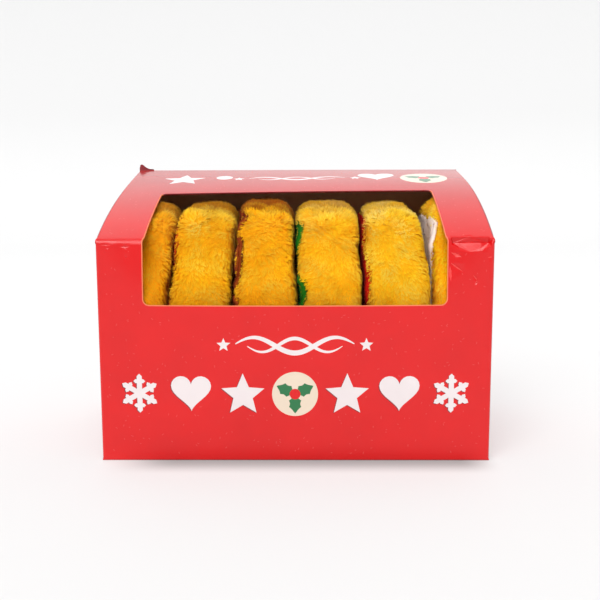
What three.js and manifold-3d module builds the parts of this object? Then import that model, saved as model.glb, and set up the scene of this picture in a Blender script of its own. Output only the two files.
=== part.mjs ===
// A shut window carton that holds six plush doughnut toys in a row, standing on edge.
//
// Millimetres, +Z up. X runs along the front of the carton, -Y is its front and the origin is the
// middle of its underside. The carton is one folded board: a front panel, a bowed roof that climbs
// from the front crease to the back edge, and one window bent over that crease. Each toy is a soft
// ring with a layer of icing fabric, cut in lobes, on its -X face.
import * as THREE from 'three';
import { mergeVertices } from 'three/addons/utils/BufferGeometryUtils.js';
import Module from 'manifold-3d';

// ---- driving dimensions -----------------------------------------------------------------------
const CARTON_WIDTH = 200;
const CARTON_DEPTH = 120.3; // from fold to fold
const CREASE_HEIGHT = 114; // top of the front panel
const BACK_HEIGHT = 150.6; // top of the back panel
const ROOF_FRONT_SLOPE = 27.4; // degrees, where the roof leaves the crease
const ROOF_BACK_SLOPE = 10.2; // degrees, where it meets the back panel
const ROOF_STEPS = 12;
const WALL_STEPS = 6; // facets up the front and the back panel
const ACROSS_STEPS = 10; // facets across the width
const BOARD = 0.7; // thickness of the folded board
const FRONT_BOW = 4.5; // how far the toys push the front panel out at the middle of the sill
const BACK_BOW = 2; // how far they push the middle of the back panel out

const WINDOW_HALF_WIDTH = 76.3;
const WINDOW_SILL = 81.6; // height of the window's lower edge
const WINDOW_REACH = 59.1; // how far back over the roof the window runs
const WINDOW_CORNER = 3; // radius of its four corners
const CORNER_STEPS = 4;

const CORNER_TAB_WIDTH = 9.5; // scrap of a dust flap that stands up at the back left corner
const CORNER_TAB_RISE = 3.8;

const TOY_HALF_DEPTH = 62.6; // each ring's outline before the carton flattens it
const TOY_HALF_HEIGHT = 66.7;
const TOY_HOLE_HALF_DEPTH = 11;
const TOY_HOLE_HALF_HEIGHT = 12.5;
const TOY_SQUARENESS = 3.4; // exponent of the ring's rounded-square section
const TOY_AROUND = 40; // facets round the ring
const TOY_SECTION = 12; // facets round its section
const ICING_THICKNESS = 3;
const ICING_EDGE_THICKNESS = 1.1;
const ICING_LOBES = 10;
const ICING_OUTER_MARGIN = 8.8; // from the ring's rim to the bottom of a notch between lobes
const ICING_LOBE_REACH = 5.5; // how far a lobe runs out past the notches
const ICING_INNER_MARGIN = 5; // from the rim of the hole
const CLEARANCE = 0.35; // between pieces that touch

// The planes between neighbours, from the left wall to the right wall: X at the floor and at the
// crown of the row. The toys lean a little, so a plane isn't quite upright.
const PARTINGS = [
  { floor: -98.8, crown: -95.4 },
  { floor: -66.0, crown: -61.5 },
  { floor: -32.0, crown: -30.5 },
  { floor: 6.0, crown: -1.3 },
  { floor: 37.5, crown: 33.5 },
  { floor: 69.5, crown: 66.8 },
  { floor: 98.8, crown: 98.8 },
];

// Each toy's icing colour, how much lower than the tallest it stands, and the turn of its lobes
// and lumps.
const TOYS = [
  { icing: 'green', drop: 1.5, turn: 0.3 },
  { icing: 'red', drop: 1.0, turn: 2.4 },
  { icing: 'chocolate', drop: 0.3, turn: 0.6 },
  { icing: 'green', drop: 0.8, turn: 1.4 },
  { icing: 'red', drop: 1.2, turn: 1.8 },
  { icing: 'white', drop: 0.0, turn: 4.5 },
];

// ---- materials --------------------------------------------------------------------------------
const BOARD_RED = new THREE.MeshStandardMaterial({ color: 0xe93c3c, roughness: 0.4, metalness: 0 });
const PLUSH_GOLD = new THREE.MeshStandardMaterial({ color: 0xf5aa19, roughness: 1, metalness: 0 });
const ICING_COLOURS = {
  green: 0x1c7a35,
  red: 0xb3191c,
  chocolate: 0x5c2a14,
  white: 0xf1ebe6,
};

function icingMaterial(name) {
  return new THREE.MeshStandardMaterial({ color: ICING_COLOURS[name], roughness: 1, metalness: 0 });
}

// ---- solids and meshes ------------------------------------------------------------------------
const wasm = await Module();
wasm.setup();

/** Turns a closed geometry into a solid that can be joined and cut. */
function toSolid(geometry) {
  const bare = geometry.clone();
  bare.deleteAttribute('normal');
  bare.deleteAttribute('uv');
  const merged = mergeVertices(bare, 1e-4);
  return new wasm.Manifold(new wasm.Mesh({
    numProp: 3,
    vertProperties: new Float32Array(merged.attributes.position.array),
    triVerts: new Uint32Array(merged.index.array),
  }));
}

/** Turns a solid back into a geometry. */
function toGeometry(solid) {
  const mesh = solid.getMesh();
  return indexedGeometry(Array.from(mesh.vertProperties), Array.from(mesh.triVerts));
}

/** A geometry from flat lists of coordinates and of corners. */
function indexedGeometry(coordinates, corners) {
  const geometry = new THREE.BufferGeometry();
  geometry.setAttribute('position', new THREE.Float32BufferAttribute(coordinates, 3));
  geometry.setIndex(corners);
  geometry.computeVertexNormals();
  return geometry;
}

/** A named mesh. */
function piece(name, geometry, material) {
  const mesh = new THREE.Mesh(geometry, material);
  mesh.name = name;
  return mesh;
}

/** Joins rows of points into a closed tube that also closes on itself. */
function ringGeometry(rows) {
  const around = rows.length;
  const section = rows[0].length;
  const coordinates = rows.flat().flatMap((point) => point.toArray());
  const corners = [];
  for (let i = 0; i < around; i += 1) {
    const next = (i + 1) % around;
    for (let j = 0; j < section; j += 1) {
      const after = (j + 1) % section;
      const a = i * section + j;
      const b = next * section + j;
      const c = next * section + after;
      const d = i * section + after;
      corners.push(a, b, c, a, c, d);
    }
  }
  return indexedGeometry(coordinates, corners);
}

// ---- carton -----------------------------------------------------------------------------------
const FRONT = (FRONT_BOW - BACK_BOW - CARTON_DEPTH) / 2; // Y of the front folds
const BACK = FRONT + CARTON_DEPTH;

/** Height of the bowed roof at a distance behind the front folds. */
function roofHeight(behind) {
  const t = behind / CARTON_DEPTH;
  const leave = CARTON_DEPTH * Math.tan(THREE.MathUtils.degToRad(ROOF_FRONT_SLOPE));
  const arrive = CARTON_DEPTH * Math.tan(THREE.MathUtils.degToRad(ROOF_BACK_SLOPE));
  return CREASE_HEIGHT * (2 * t ** 3 - 3 * t ** 2 + 1)
    + leave * (t ** 3 - 2 * t ** 2 + t)
    + BACK_HEIGHT * (3 * t ** 2 - 2 * t ** 3)
    + arrive * (t ** 3 - t ** 2);
}

/** How far the front panel stands out: most at the middle of the sill, nothing at its folds. */
function frontBow(across, height) {
  const below = Math.sin((Math.PI / 2) * (height / WINDOW_SILL));
  const above = Math.cos((Math.PI / 2) * ((height - WINDOW_SILL) / (CREASE_HEIGHT - WINDOW_SILL)));
  const climb = height < WINDOW_SILL ? below : Math.max(above, 0);
  return FRONT_BOW * (1 - across ** 2) * climb;
}

/** How far the back panel stands out. */
function backBow(across, height) {
  return BACK_BOW * (1 - across ** 2) * Math.sin(Math.PI * (height / BACK_HEIGHT));
}

/** Evenly spaced numbers from start to end, both included. */
function steps(start, end, count) {
  return Array.from({ length: count + 1 }, (_, i) => THREE.MathUtils.lerp(start, end, i / count));
}

/** One slice of the carton as a loop of points, drawn inside its outer faces by an inset. */
function slice(x, across, inset) {
  const roof = steps(CARTON_DEPTH - inset, inset, ROOF_STEPS).map((behind) => {
    const rise = roofHeight(behind + 0.5) - roofHeight(behind - 0.5);
    return new THREE.Vector2(FRONT + behind, roofHeight(behind) - inset * Math.hypot(1, rise));
  });
  const top = roof[0].y;
  const crease = roof[ROOF_STEPS].y;
  const back = steps(inset, top, WALL_STEPS).slice(0, -1)
    .map((z) => new THREE.Vector2(BACK - inset + backBow(across, z), z));
  const aboveSill = steps(crease, WINDOW_SILL, WALL_STEPS / 2).slice(1, -1);
  const belowSill = steps(WINDOW_SILL, inset, WALL_STEPS);
  const front = [...aboveSill, ...belowSill]
    .map((z) => new THREE.Vector2(FRONT + inset - frontBow(across, z), z));
  return [...back, ...roof, ...front].map((point) => new THREE.Vector3(x, point.x, point.y));
}

/** The carton's solid outline, drawn inside its outer faces by an inset. */
function bowedBlock(inset) {
  const halfWidth = CARTON_WIDTH / 2 - inset;
  const slices = steps(-1, 1, ACROSS_STEPS).map((across) => slice(across * halfWidth, across, inset));
  const size = slices[0].length;
  const corners = [];
  for (let i = 0; i < ACROSS_STEPS; i += 1) {
    for (let j = 0; j < size; j += 1) {
      const after = (j + 1) % size;
      const a = i * size + j;
      const b = a + size;
      const c = (i + 1) * size + after;
      const d = i * size + after;
      corners.push(a, d, c, a, c, b);
    }
  }
  const end = slices[0].map((point) => new THREE.Vector2(point.y, point.z));
  const last = ACROSS_STEPS * size;
  THREE.ShapeUtils.triangulateShape(end, []).forEach(([a, b, c]) => {
    corners.push(c, b, a, last + a, last + b, last + c);
  });
  return indexedGeometry(slices.flat().flatMap((point) => point.toArray()), corners);
}

/** A rectangle from low to high whose corners on one edge are rounded. */
function windowOutline(low, high, roundHigh) {
  const side = WINDOW_HALF_WIDTH;
  const r = WINDOW_CORNER;
  const outline = new THREE.Shape();
  if (roundHigh) {
    outline.moveTo(-side, low);
    outline.lineTo(side, low);
    outline.absarc(side - r, high - r, r, 0, Math.PI / 2);
    outline.absarc(-side + r, high - r, r, Math.PI / 2, Math.PI);
  } else {
    outline.moveTo(side, high);
    outline.lineTo(-side, high);
    outline.absarc(-side + r, low + r, r, Math.PI, 1.5 * Math.PI);
    outline.absarc(side - r, low + r, r, 1.5 * Math.PI, 2 * Math.PI);
  }
  return outline;
}

/** The block that cuts the window out of the front panel and the roof. */
function windowCutter() {
  const overlap = 2;
  const reach = FRONT_BOW + 2 * overlap;
  const options = { bevelEnabled: false, curveSegments: CORNER_STEPS };
  const frontShape = windowOutline(WINDOW_SILL, CREASE_HEIGHT - overlap, false);
  const frontPart = new THREE.ExtrudeGeometry(frontShape, { ...options, depth: reach });
  frontPart.rotateX(Math.PI / 2).translate(0, FRONT + overlap, 0);
  const roofShape = windowOutline(FRONT - reach, FRONT + WINDOW_REACH, true);
  const roofRise = BACK_HEIGHT - CREASE_HEIGHT;
  const roofPart = new THREE.ExtrudeGeometry(roofShape, { ...options, depth: roofRise + 2 * overlap });
  roofPart.translate(0, 0, CREASE_HEIGHT - 2 * overlap);
  return toSolid(frontPart).add(toSolid(roofPart));
}

/** The three-cornered scrap of board that stands up behind the roof's left end. */
function cornerTab() {
  const root = 6; // how far it runs down inside the back panel
  const left = -CARTON_WIDTH / 2;
  const outline = new THREE.Shape();
  outline.moveTo(left, BACK_HEIGHT - root);
  outline.lineTo(left + CORNER_TAB_WIDTH, BACK_HEIGHT - root);
  outline.lineTo(left + CORNER_TAB_WIDTH, BACK_HEIGHT);
  outline.lineTo(left + CORNER_TAB_WIDTH * 0.22, BACK_HEIGHT + CORNER_TAB_RISE);
  outline.lineTo(left, BACK_HEIGHT + CORNER_TAB_RISE * 0.3);
  const tab = new THREE.ExtrudeGeometry(outline, { depth: BOARD, bevelEnabled: false });
  return toSolid(tab.rotateX(Math.PI / 2).translate(0, BACK, 0));
}

/** The folded carton: a thin shell, its window and its standing corner. */
function carton() {
  const shell = toSolid(bowedBlock(0)).subtract(toSolid(bowedBlock(BOARD)));
  return piece('carton', toGeometry(shell.subtract(windowCutter()).add(cornerTab())), BOARD_RED);
}

// ---- toys -------------------------------------------------------------------------------------
const FLOOR = BOARD + CLEARANCE; // lowest a toy reaches
const BODY_INSET = ICING_THICKNESS + CLEARANCE; // from the icing's face to the ring's

/** X of a parting plane at a height. */
function partingAt(parting, height) {
  return THREE.MathUtils.lerp(parting.floor, parting.crown, height / (2 * TOY_HALF_HEIGHT));
}

/** How far a section stands out sideways, from 0 to 1, at a place across it from -1 to 1. */
function fullness(across) {
  return (1 - Math.abs(across) ** TOY_SQUARENESS) ** (1 / TOY_SQUARENESS);
}

/**
 * A point of a toy. angle runs round the ring; across is 1 at the rim and -1 at the hole;
 * side is -1 on the iced face, 1 on the plain face; out lifts the point off the iced face.
 */
function toyPoint(toy, left, right, angle, across, side, out) {
  const lump = 0.006 * (2 + Math.sin(3 * angle + toy.turn) + Math.sin(5 * angle + 2 * toy.turn));
  const outer = across > 0 ? 1 - lump : 1;
  const halfDepth = TOY_HALF_DEPTH * outer;
  const halfHeight = (TOY_HALF_HEIGHT - toy.drop / 2) * outer;
  const share = (1 + across) / 2;
  const depth = THREE.MathUtils.lerp(TOY_HOLE_HALF_DEPTH, halfDepth, share);
  const height = THREE.MathUtils.lerp(TOY_HOLE_HALF_HEIGHT, halfHeight, share);
  const centre = TOY_HALF_HEIGHT - toy.drop / 2;
  const z = Math.max(centre + height * Math.sin(angle), FLOOR);
  const low = partingAt(left, z) + CLEARANCE + BODY_INSET;
  const high = partingAt(right, z) - CLEARANCE;
  const x = (low + high) / 2 + fullness(across) * side * ((high - low) / 2) - out;
  const wallPlace = x / (CARTON_WIDTH / 2);
  const frontWall = FRONT - frontBow(wallPlace, z) + BOARD + CLEARANCE;
  const backWall = BACK + backBow(wallPlace, z) - BOARD - CLEARANCE;
  const y = THREE.MathUtils.clamp(depth * Math.cos(angle), frontWall, backWall);
  return new THREE.Vector3(x, y, z);
}

/** Places across the section, once round it: the plain face, then the iced face. */
function sectionPlaces() {
  const places = [];
  for (let j = 0; j < TOY_SECTION; j += 1) {
    const turn = (2 * Math.PI * j) / TOY_SECTION;
    const cosine = Math.cos(turn);
    const across = Math.sign(cosine) * Math.abs(cosine) ** (2 / TOY_SQUARENESS);
    places.push({ across, side: turn <= Math.PI ? 1 : -1 });
  }
  return places;
}

/** The soft ring of one toy. */
function ring(toy, left, right) {
  const places = sectionPlaces();
  const rows = [];
  for (let i = 0; i < TOY_AROUND; i += 1) {
    const angle = (2 * Math.PI * i) / TOY_AROUND;
    rows.push(places.map(({ across, side }) => toyPoint(toy, left, right, angle, across, side, 0)));
  }
  return ringGeometry(rows);
}

/** A point on the straight facet between two places of the iced face, lifted off it by out. */
function facetPoint(toy, left, right, angle, from, to, across, out) {
  const share = (across - from) / (to - from);
  const start = toyPoint(toy, left, right, angle, from, -1, out);
  const end = toyPoint(toy, left, right, angle, to, -1, out);
  return start.lerp(end, share);
}

/** The icing of one toy: a layer that follows the iced face, cut in lobes at its outer edge. */
function icing(toy, left, right) {
  const halfWall = (TOY_HALF_HEIGHT - TOY_HOLE_HALF_HEIGHT) / 2;
  const iced = sectionPlaces().filter(({ side }) => side < 0).map(({ across }) => across);
  const ordered = iced.sort((a, b) => b - a); // from the rim to the hole
  const innerEdge = -1 + ICING_INNER_MARGIN / halfWall;
  const rows = [];
  for (let i = 0; i < TOY_AROUND; i += 1) {
    const angle = (2 * Math.PI * i) / TOY_AROUND;
    const lobe = Math.abs(Math.cos((ICING_LOBES / 2) * angle + toy.turn));
    const outerEdge = 1 - (ICING_OUTER_MARGIN - ICING_LOBE_REACH * lobe) / halfWall;
    const inside = ordered.filter((across) => Math.abs(across) < 0.8);
    const rim = ordered[0];
    const holeRim = ordered[ordered.length - 1];
    const under = [
      facetPoint(toy, left, right, angle, rim, inside[0], outerEdge, CLEARANCE),
      ...inside.map((across) => toyPoint(toy, left, right, angle, across, -1, CLEARANCE)),
      facetPoint(toy, left, right, angle, inside.at(-1), holeRim, innerEdge, CLEARANCE),
    ];
    const over = under.map((point, k) => {
      const edge = k === 0 || k === under.length - 1;
      const lift = edge ? ICING_EDGE_THICKNESS : ICING_THICKNESS;
      return point.clone().add(new THREE.Vector3(-lift, 0, 0));
    });
    rows.push([...under, ...over.reverse()]);
  }
  return ringGeometry(rows);
}

// ---- the whole --------------------------------------------------------------------------------
const box = new THREE.Group();
box.add(carton());
TOYS.forEach((toy, i) => {
  const number = i + 1;
  box.add(piece(`doughnut_${number}`, ring(toy, PARTINGS[i], PARTINGS[i + 1]), PLUSH_GOLD));
  box.add(piece(`icing_${number}`, icing(toy, PARTINGS[i], PARTINGS[i + 1]), icingMaterial(toy.icing)));
});

export default box;
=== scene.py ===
"""Looks of a shut window carton that holds six plush doughnut toys in a row, standing on edge.

The carton is one sheet of coated board: it is laid out flat with its window and print, cut into
triangles and folded into shape. Each toy is a soft ring with a pile of golden fibres and a lobed
layer of icing plush on its left face. Sizes are in millimetres until a mesh is made from them.
"""

from __future__ import annotations

import logging
import math
from dataclasses import dataclass, field
from enum import Enum
from functools import partial
from typing import Callable

import bpy
import numpy as np
from mathutils import Matrix, Vector
from mathutils.geometry import delaunay_2d_cdt
from mathutils.kdtree import KDTree

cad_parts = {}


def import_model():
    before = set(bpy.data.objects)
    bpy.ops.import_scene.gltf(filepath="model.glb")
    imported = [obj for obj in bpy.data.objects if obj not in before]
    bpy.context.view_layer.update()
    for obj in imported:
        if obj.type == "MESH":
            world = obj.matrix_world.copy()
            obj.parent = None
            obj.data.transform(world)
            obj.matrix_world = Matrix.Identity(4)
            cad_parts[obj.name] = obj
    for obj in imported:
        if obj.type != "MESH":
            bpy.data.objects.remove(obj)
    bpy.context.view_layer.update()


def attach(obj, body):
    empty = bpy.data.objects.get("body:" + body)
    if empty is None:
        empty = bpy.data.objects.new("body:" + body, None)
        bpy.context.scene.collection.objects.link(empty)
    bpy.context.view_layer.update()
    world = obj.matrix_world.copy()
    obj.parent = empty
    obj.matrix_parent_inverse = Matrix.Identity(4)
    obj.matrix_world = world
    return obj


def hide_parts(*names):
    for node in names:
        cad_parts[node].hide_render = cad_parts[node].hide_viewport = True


LOG = logging.getLogger("plush_carton")
MM = 0.001
PILE_COLOURS = "PileColour"
# Sockets of the Mix node when it mixes colours.
MIX_FIRST, MIX_SECOND, MIX_RESULT = 6, 7, 2
Colour = tuple[float, float, float]
Pair = tuple[float, float]
Array = np.ndarray
Socket = bpy.types.NodeSocket


# ---- small helpers ----
def linear(red: int, green: int, blue: int) -> Colour:
    """Turns display values from 0 to 255 into the linear colour that a shader takes."""
    shares = [v / 255 for v in (red, green, blue)]
    return tuple(v / 12.92 if v <= 0.04045 else ((v + 0.055) / 1.055) ** 2.4 for v in shares)


def unit(vectors: Array) -> Array:
    """Scales each row to length one."""
    return vectors / np.maximum(np.linalg.norm(vectors, axis=-1, keepdims=True), 1e-9)


def smooth(low: float, high: float, value: Array) -> Array:
    """Climbs from 0 at low to 1 at high with a level start and end."""
    t = np.clip((value - low) / (high - low), 0, 1)
    return t * t * (3 - 2 * t)


def swing(start: float, end: float, angle: Array) -> Array:
    """Climbs from 0 to 1 between two angles that are given in degrees."""
    return smooth(math.radians(start), math.radians(end), angle)


def full_turn(count: int) -> Array:
    """Evenly spaced angles of a full turn."""
    return np.linspace(0, 2 * np.pi, count, endpoint=False)


def lerp(low: Array, high: Array, share: Array) -> Array:
    """The value a share of the way from low to high."""
    return low + (high - low) * share


def closed_grid(rows: int, columns: int) -> Array:
    """Joins the points of a grid that closes on itself both ways.

    Args:
        rows: how many rows of points there are.
        columns: how many points there are in a row.

    Returns:
        The corners of its faces.
    """
    i, j = np.meshgrid(np.arange(rows), np.arange(columns), indexing="ij")
    after_i, after_j = (i + 1) % rows, (j + 1) % columns
    corners = [i * columns + j, after_i * columns + j, after_i * columns + after_j, i * columns + after_j]
    return np.stack(corners, -1).reshape(-1, 4)


def put(name: str, data: bpy.types.ID) -> bpy.types.Object:
    """Puts a new object into the scene.

    Args:
        name: of the object.
        data: its mesh, camera or light.

    Returns:
        The object.
    """
    made = bpy.data.objects.new(name, data)
    bpy.context.scene.collection.objects.link(made)
    return made


class Ripple:
    """A smooth random field in space: many plane waves of about one length."""

    def __init__(self, seed: int, wavelength: float, waves: int = 14) -> None:
        """Draws the waves.

        Args:
            seed: seed of the draw.
            wavelength: the middle wavelength, in the units of the points.
            waves: how many waves are added.
        """
        rng = np.random.default_rng(seed)
        ways = unit(rng.normal(size=(waves, 3)))
        lengths = wavelength * rng.uniform(0.65, 1.6, (waves, 1))
        self.waves = ways * 2 * np.pi / lengths
        self.phases = rng.uniform(0, 2 * np.pi, waves)

    def __call__(self, points: Array) -> Array:
        """The field at each point, mostly from -1 to 1."""
        return np.sin(points @ self.waves.T + self.phases).sum(-1) * math.sqrt(0.5 / len(self.phases))


@dataclass
class MeshData:
    """Arrays of a mesh that is still being put together.

    Attributes:
        points: places in millimetres.
        faces: corner numbers, one row a face; -1 fills the rows of triangles.
        normals: shading normals of the points.
        colours: a colour for each point, if the finish reads one.
        slots: the number of each face's finish.
    """

    points: Array
    faces: Array
    normals: Array
    colours: Array | None = None
    slots: Array | None = None

    def joined(self, other: MeshData) -> MeshData:
        """Puts two painted meshes together.

        Args:
            other: the one that is added to this one.

        Returns:
            Both as one mesh.
        """
        return MeshData(
            np.concatenate([self.points, other.points]),
            np.concatenate([self.faces, np.where(other.faces >= 0, other.faces + len(self.points), -1)]),
            np.concatenate([self.normals, other.normals]),
            np.concatenate([self.colours, other.colours]),
        )

    def to_object(self, name: str, materials: list[bpy.types.Material]) -> bpy.types.Object:
        """Makes the Blender object, in metres.

        Args:
            name: name of the piece.
            materials: its finishes, in the order of the slots.

        Returns:
            The object, linked into the scene.
        """
        sizes = (self.faces >= 0).sum(1)
        corners = self.faces[self.faces >= 0]
        starts = np.concatenate([[0], np.cumsum(sizes)[:-1]])
        mesh = bpy.data.meshes.new(name)
        mesh.vertices.add(len(self.points))
        mesh.vertices.foreach_set("co", (self.points * MM).astype(np.float32).ravel())
        mesh.loops.add(len(corners))
        mesh.loops.foreach_set("vertex_index", corners.astype(np.int32))
        mesh.polygons.add(len(sizes))
        mesh.polygons.foreach_set("loop_start", starts.astype(np.int32))
        mesh.polygons.foreach_set("use_smooth", np.ones(len(sizes), bool))
        if self.slots is not None:
            mesh.polygons.foreach_set("material_index", self.slots.astype(np.int32))
        mesh.update(calc_edges=True)
        for material in materials:
            mesh.materials.append(material)
        if self.colours is not None:
            layer = mesh.color_attributes.new(PILE_COLOURS, "FLOAT_COLOR", "POINT")
            rgba = np.concatenate([self.colours, np.ones((len(self.points), 1))], 1)
            layer.data.foreach_set("color", rgba.astype(np.float32).ravel())
        mesh.normals_split_custom_set_from_vertices(unit(self.normals).astype(np.float32))
        LOG.info("%s: %d triangles", name, (sizes - 2).sum())
        return put(name, mesh)


# ---- finishes ----
class Nodes:
    """A short way to write a material's nodes."""

    def __init__(self, name: str) -> None:
        """Starts a material that holds one Principled shader.

        Args:
            name: name of the material.
        """
        self.material = bpy.data.materials.new(name)
        self.material.use_nodes = True
        self.tree = self.material.node_tree
        self.shader = self.tree.nodes["Principled BSDF"]

    def add(self, kind: str, **values: object) -> bpy.types.Node:
        """Adds a node.

        Args:
            kind: its type.
            values: its properties by name.

        Returns:
            The node.
        """
        node = self.tree.nodes.new(kind)
        for key, value in values.items():
            setattr(node, key, value)
        return node

    def link(self, source: Socket, target: Socket) -> None:
        """Joins two sockets."""
        self.tree.links.new(source, target)

    def fix(self, **values: float | Colour) -> None:
        """Sets the shader's own sockets.

        Args:
            values: their values; a name stands for the socket's, with _ in place of a space.
        """
        for key, value in values.items():
            colour = isinstance(value, tuple)
            self.shader.inputs[key.replace("_", " ")].default_value = (*value, 1) if colour else value

    def noise(self, scale: float, detail: float) -> Socket:
        """Noise in the piece's own space.

        Args:
            scale: how fine it is.
            detail: how many finer layers it has.

        Returns:
            The socket of a number from 0 to 1.
        """
        place = self.add("ShaderNodeTexCoord")
        cloud = self.add("ShaderNodeTexNoise")
        cloud.inputs["Scale"].default_value = scale
        cloud.inputs["Detail"].default_value = detail
        self.link(place.outputs["Object"], cloud.inputs["Vector"])
        return cloud.outputs["Fac"]

    def axes(self) -> bpy.types.NodeOutputs:
        """Takes the piece's own coordinates apart.

        Returns:
            The sockets of X, Y and Z.
        """
        place = self.add("ShaderNodeTexCoord")
        parts = self.add("ShaderNodeSeparateXYZ")
        self.link(place.outputs["Object"], parts.inputs["Vector"])
        return parts.outputs

    def ramp(
        self,
        source: Socket,
        given: Pair,
        wanted: Pair = (0.0, 1.0),
        curve: str = "LINEAR",
    ) -> Socket:
        """Carries a number over from one span to another.

        Args:
            source: its socket.
            given: the span that it comes from.
            wanted: the span that it goes to.
            curve: how it runs between their ends.

        Returns:
            The socket of the result.
        """
        span = self.add("ShaderNodeMapRange", interpolation_type=curve)
        for key, value in zip(("From Min", "From Max", "To Min", "To Max"), (*given, *wanted)):
            span.inputs[key].default_value = value
        self.link(source, span.inputs["Value"])
        return span.outputs["Result"]

    def patches(self, scale: float, detail: float, low: float = 0.0, high: float = 1.0) -> Socket:
        """Noise whose middle is spread over the span from low to high."""
        return self.ramp(self.noise(scale, detail), (0.3, 0.7), (low, high))

    def number(self, operation: str, *terms: Socket | float) -> Socket:
        """Works out a number.

        Args:
            operation: of the Math node.
            terms: sockets or plain numbers, in its order.

        Returns:
            The socket of the result.
        """
        node = self.add("ShaderNodeMath", operation=operation)
        for target, term in zip(node.inputs, terms):
            if isinstance(term, Socket):
                self.link(term, target)
            else:
                target.default_value = term
        return node.outputs[0]

    def mix(self, share: Socket, first: Colour, second: Colour) -> Socket:
        """Mixes two colours.

        Args:
            share: socket of the second one's share.
            first: the colour where the share is 0.
            second: the colour where it is 1.

        Returns:
            The socket of the mixed colour.
        """
        blend = self.add("ShaderNodeMix", data_type="RGBA")
        blend.inputs[MIX_FIRST].default_value = (*first, 1)
        blend.inputs[MIX_SECOND].default_value = (*second, 1)
        self.link(share, blend.inputs[0])
        return blend.outputs[MIX_RESULT]

    def product(self, first: Socket, second: Socket) -> Socket:
        """Multiplies two colours.

        Args:
            first: socket of the one.
            second: socket of the other, or of a plain number.

        Returns:
            The socket of the product.
        """
        blend = self.add("ShaderNodeMix", data_type="RGBA", blend_type="MULTIPLY")
        blend.inputs[0].default_value = 1.0
        self.link(first, blend.inputs[MIX_FIRST])
        self.link(second, blend.inputs[MIX_SECOND])
        return blend.outputs[MIX_RESULT]

    def bump(self, height: Socket, depth_mm: float) -> None:
        """Lets a height stand out of the surface.

        Args:
            height: its socket.
            depth_mm: how far it stands out.
        """
        relief = self.add("ShaderNodeBump")
        relief.inputs["Strength"].default_value = 1.0
        relief.inputs["Distance"].default_value = depth_mm * MM
        self.link(height, relief.inputs["Height"])
        self.link(relief.outputs["Normal"], self.shader.inputs["Normal"])


@dataclass(frozen=True)
class BoardFinish:
    """Coated or bare board, or the ink on it.

    Attributes:
        name: name of the material.
        colour: its colour.
        mottle: how far patches stray from the colour, as a share.
        roughness: of the surface, from 0 to 1.
        varnish: weight of the clear coat.
        grain: height of the paper's relief in millimetres.
        painted_shade_share: how much of the colour's brightness is left at the carton's back: painted
            shade that tones down the sheen the roof catches towards its back.
        painted_shade_span: where along Y that painted shade starts and ends to darken.
    """

    name: str
    colour: Colour
    mottle: float = 0.05
    roughness: float = 0.5
    varnish: float = 0.92
    grain: float = 0.006
    painted_shade_share: float = 1.0
    painted_shade_span: Pair = (-45.0, 62.0)

    def make(self) -> bpy.types.Material:
        """Builds the material.

        Returns:
            The material.
        """
        nodes = Nodes(self.name)
        darker = tuple(v * (1 - self.mottle) for v in self.colour)
        lighter = tuple(min(v * (1 + self.mottle), 1.0) for v in self.colour)
        colour = nodes.mix(nodes.patches(55.0, 4.0), darker, lighter)
        # Painted shade: the colour darkens towards the carton's back, which tones down the sheen that the
        # roof catches there.
        if self.painted_shade_share < 1:
            front, back = self.painted_shade_span
            left = nodes.ramp(nodes.axes()["Y"], (front * MM, back * MM), (1.0, self.painted_shade_share))
            colour = nodes.product(colour, left)
        nodes.link(colour, nodes.shader.inputs["Base Color"])
        handled = nodes.patches(120.0, 3.0, self.roughness - 0.03, self.roughness + 0.04)
        nodes.link(handled, nodes.shader.inputs["Roughness"])
        bare = self.varnish == 0
        nodes.fix(Specular_IOR_Level=0.25 if bare else 0.0, Coat_Weight=self.varnish, Coat_Roughness=0.16)
        nodes.bump(nodes.noise(1900.0, 2.0), self.grain)
        return nodes.material


@dataclass(frozen=True)
class PlushFinish:
    """Soft pile whose colour is painted on its fibres, or the backing under it.

    Attributes:
        name: name of the material.
        sheen: weight of the soft light at its edges.
        tint: colour of that light.
        through: share of the light that passes through the fibres.
    """

    name: str
    sheen: float
    tint: Colour
    through: float = 0.1

    def make(self) -> bpy.types.Material:
        """Builds the material.

        Returns:
            The material.
        """
        nodes = Nodes(self.name)
        paint = nodes.add("ShaderNodeAttribute", attribute_name=PILE_COLOURS)
        flecks = nodes.mix(nodes.patches(700.0, 2.0), (0.93,) * 3, (1.0,) * 3)
        colour = nodes.product(paint.outputs["Color"], flecks)
        nodes.link(colour, nodes.shader.inputs["Base Color"])
        nodes.fix(Roughness=0.78, Specular_IOR_Level=0.08)
        nodes.fix(Sheen_Weight=self.sheen, Sheen_Roughness=0.45, Sheen_Tint=self.tint)
        passing = nodes.add("ShaderNodeBsdfTranslucent")
        nodes.link(colour, passing.inputs["Color"])
        both = nodes.add("ShaderNodeMixShader")
        both.inputs[0].default_value = self.through
        nodes.link(nodes.shader.outputs[0], both.inputs[1])
        nodes.link(passing.outputs[0], both.inputs[2])
        nodes.link(both.outputs[0], nodes.tree.nodes["Material Output"].inputs["Surface"])
        return nodes.material


class Ink(Enum):
    """The finishes on the carton's sheet, in the order of its material slots."""

    RED = 0
    WHITE = 1
    SHADOW = 2
    CREAM = 3
    GREEN = 4
    SPECK = 5
    WINDOW_EDGE = 6
    CUT_EDGE = 7
    INSIDE = 8
    ROOF = 9
    SCUFF = 10


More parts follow.
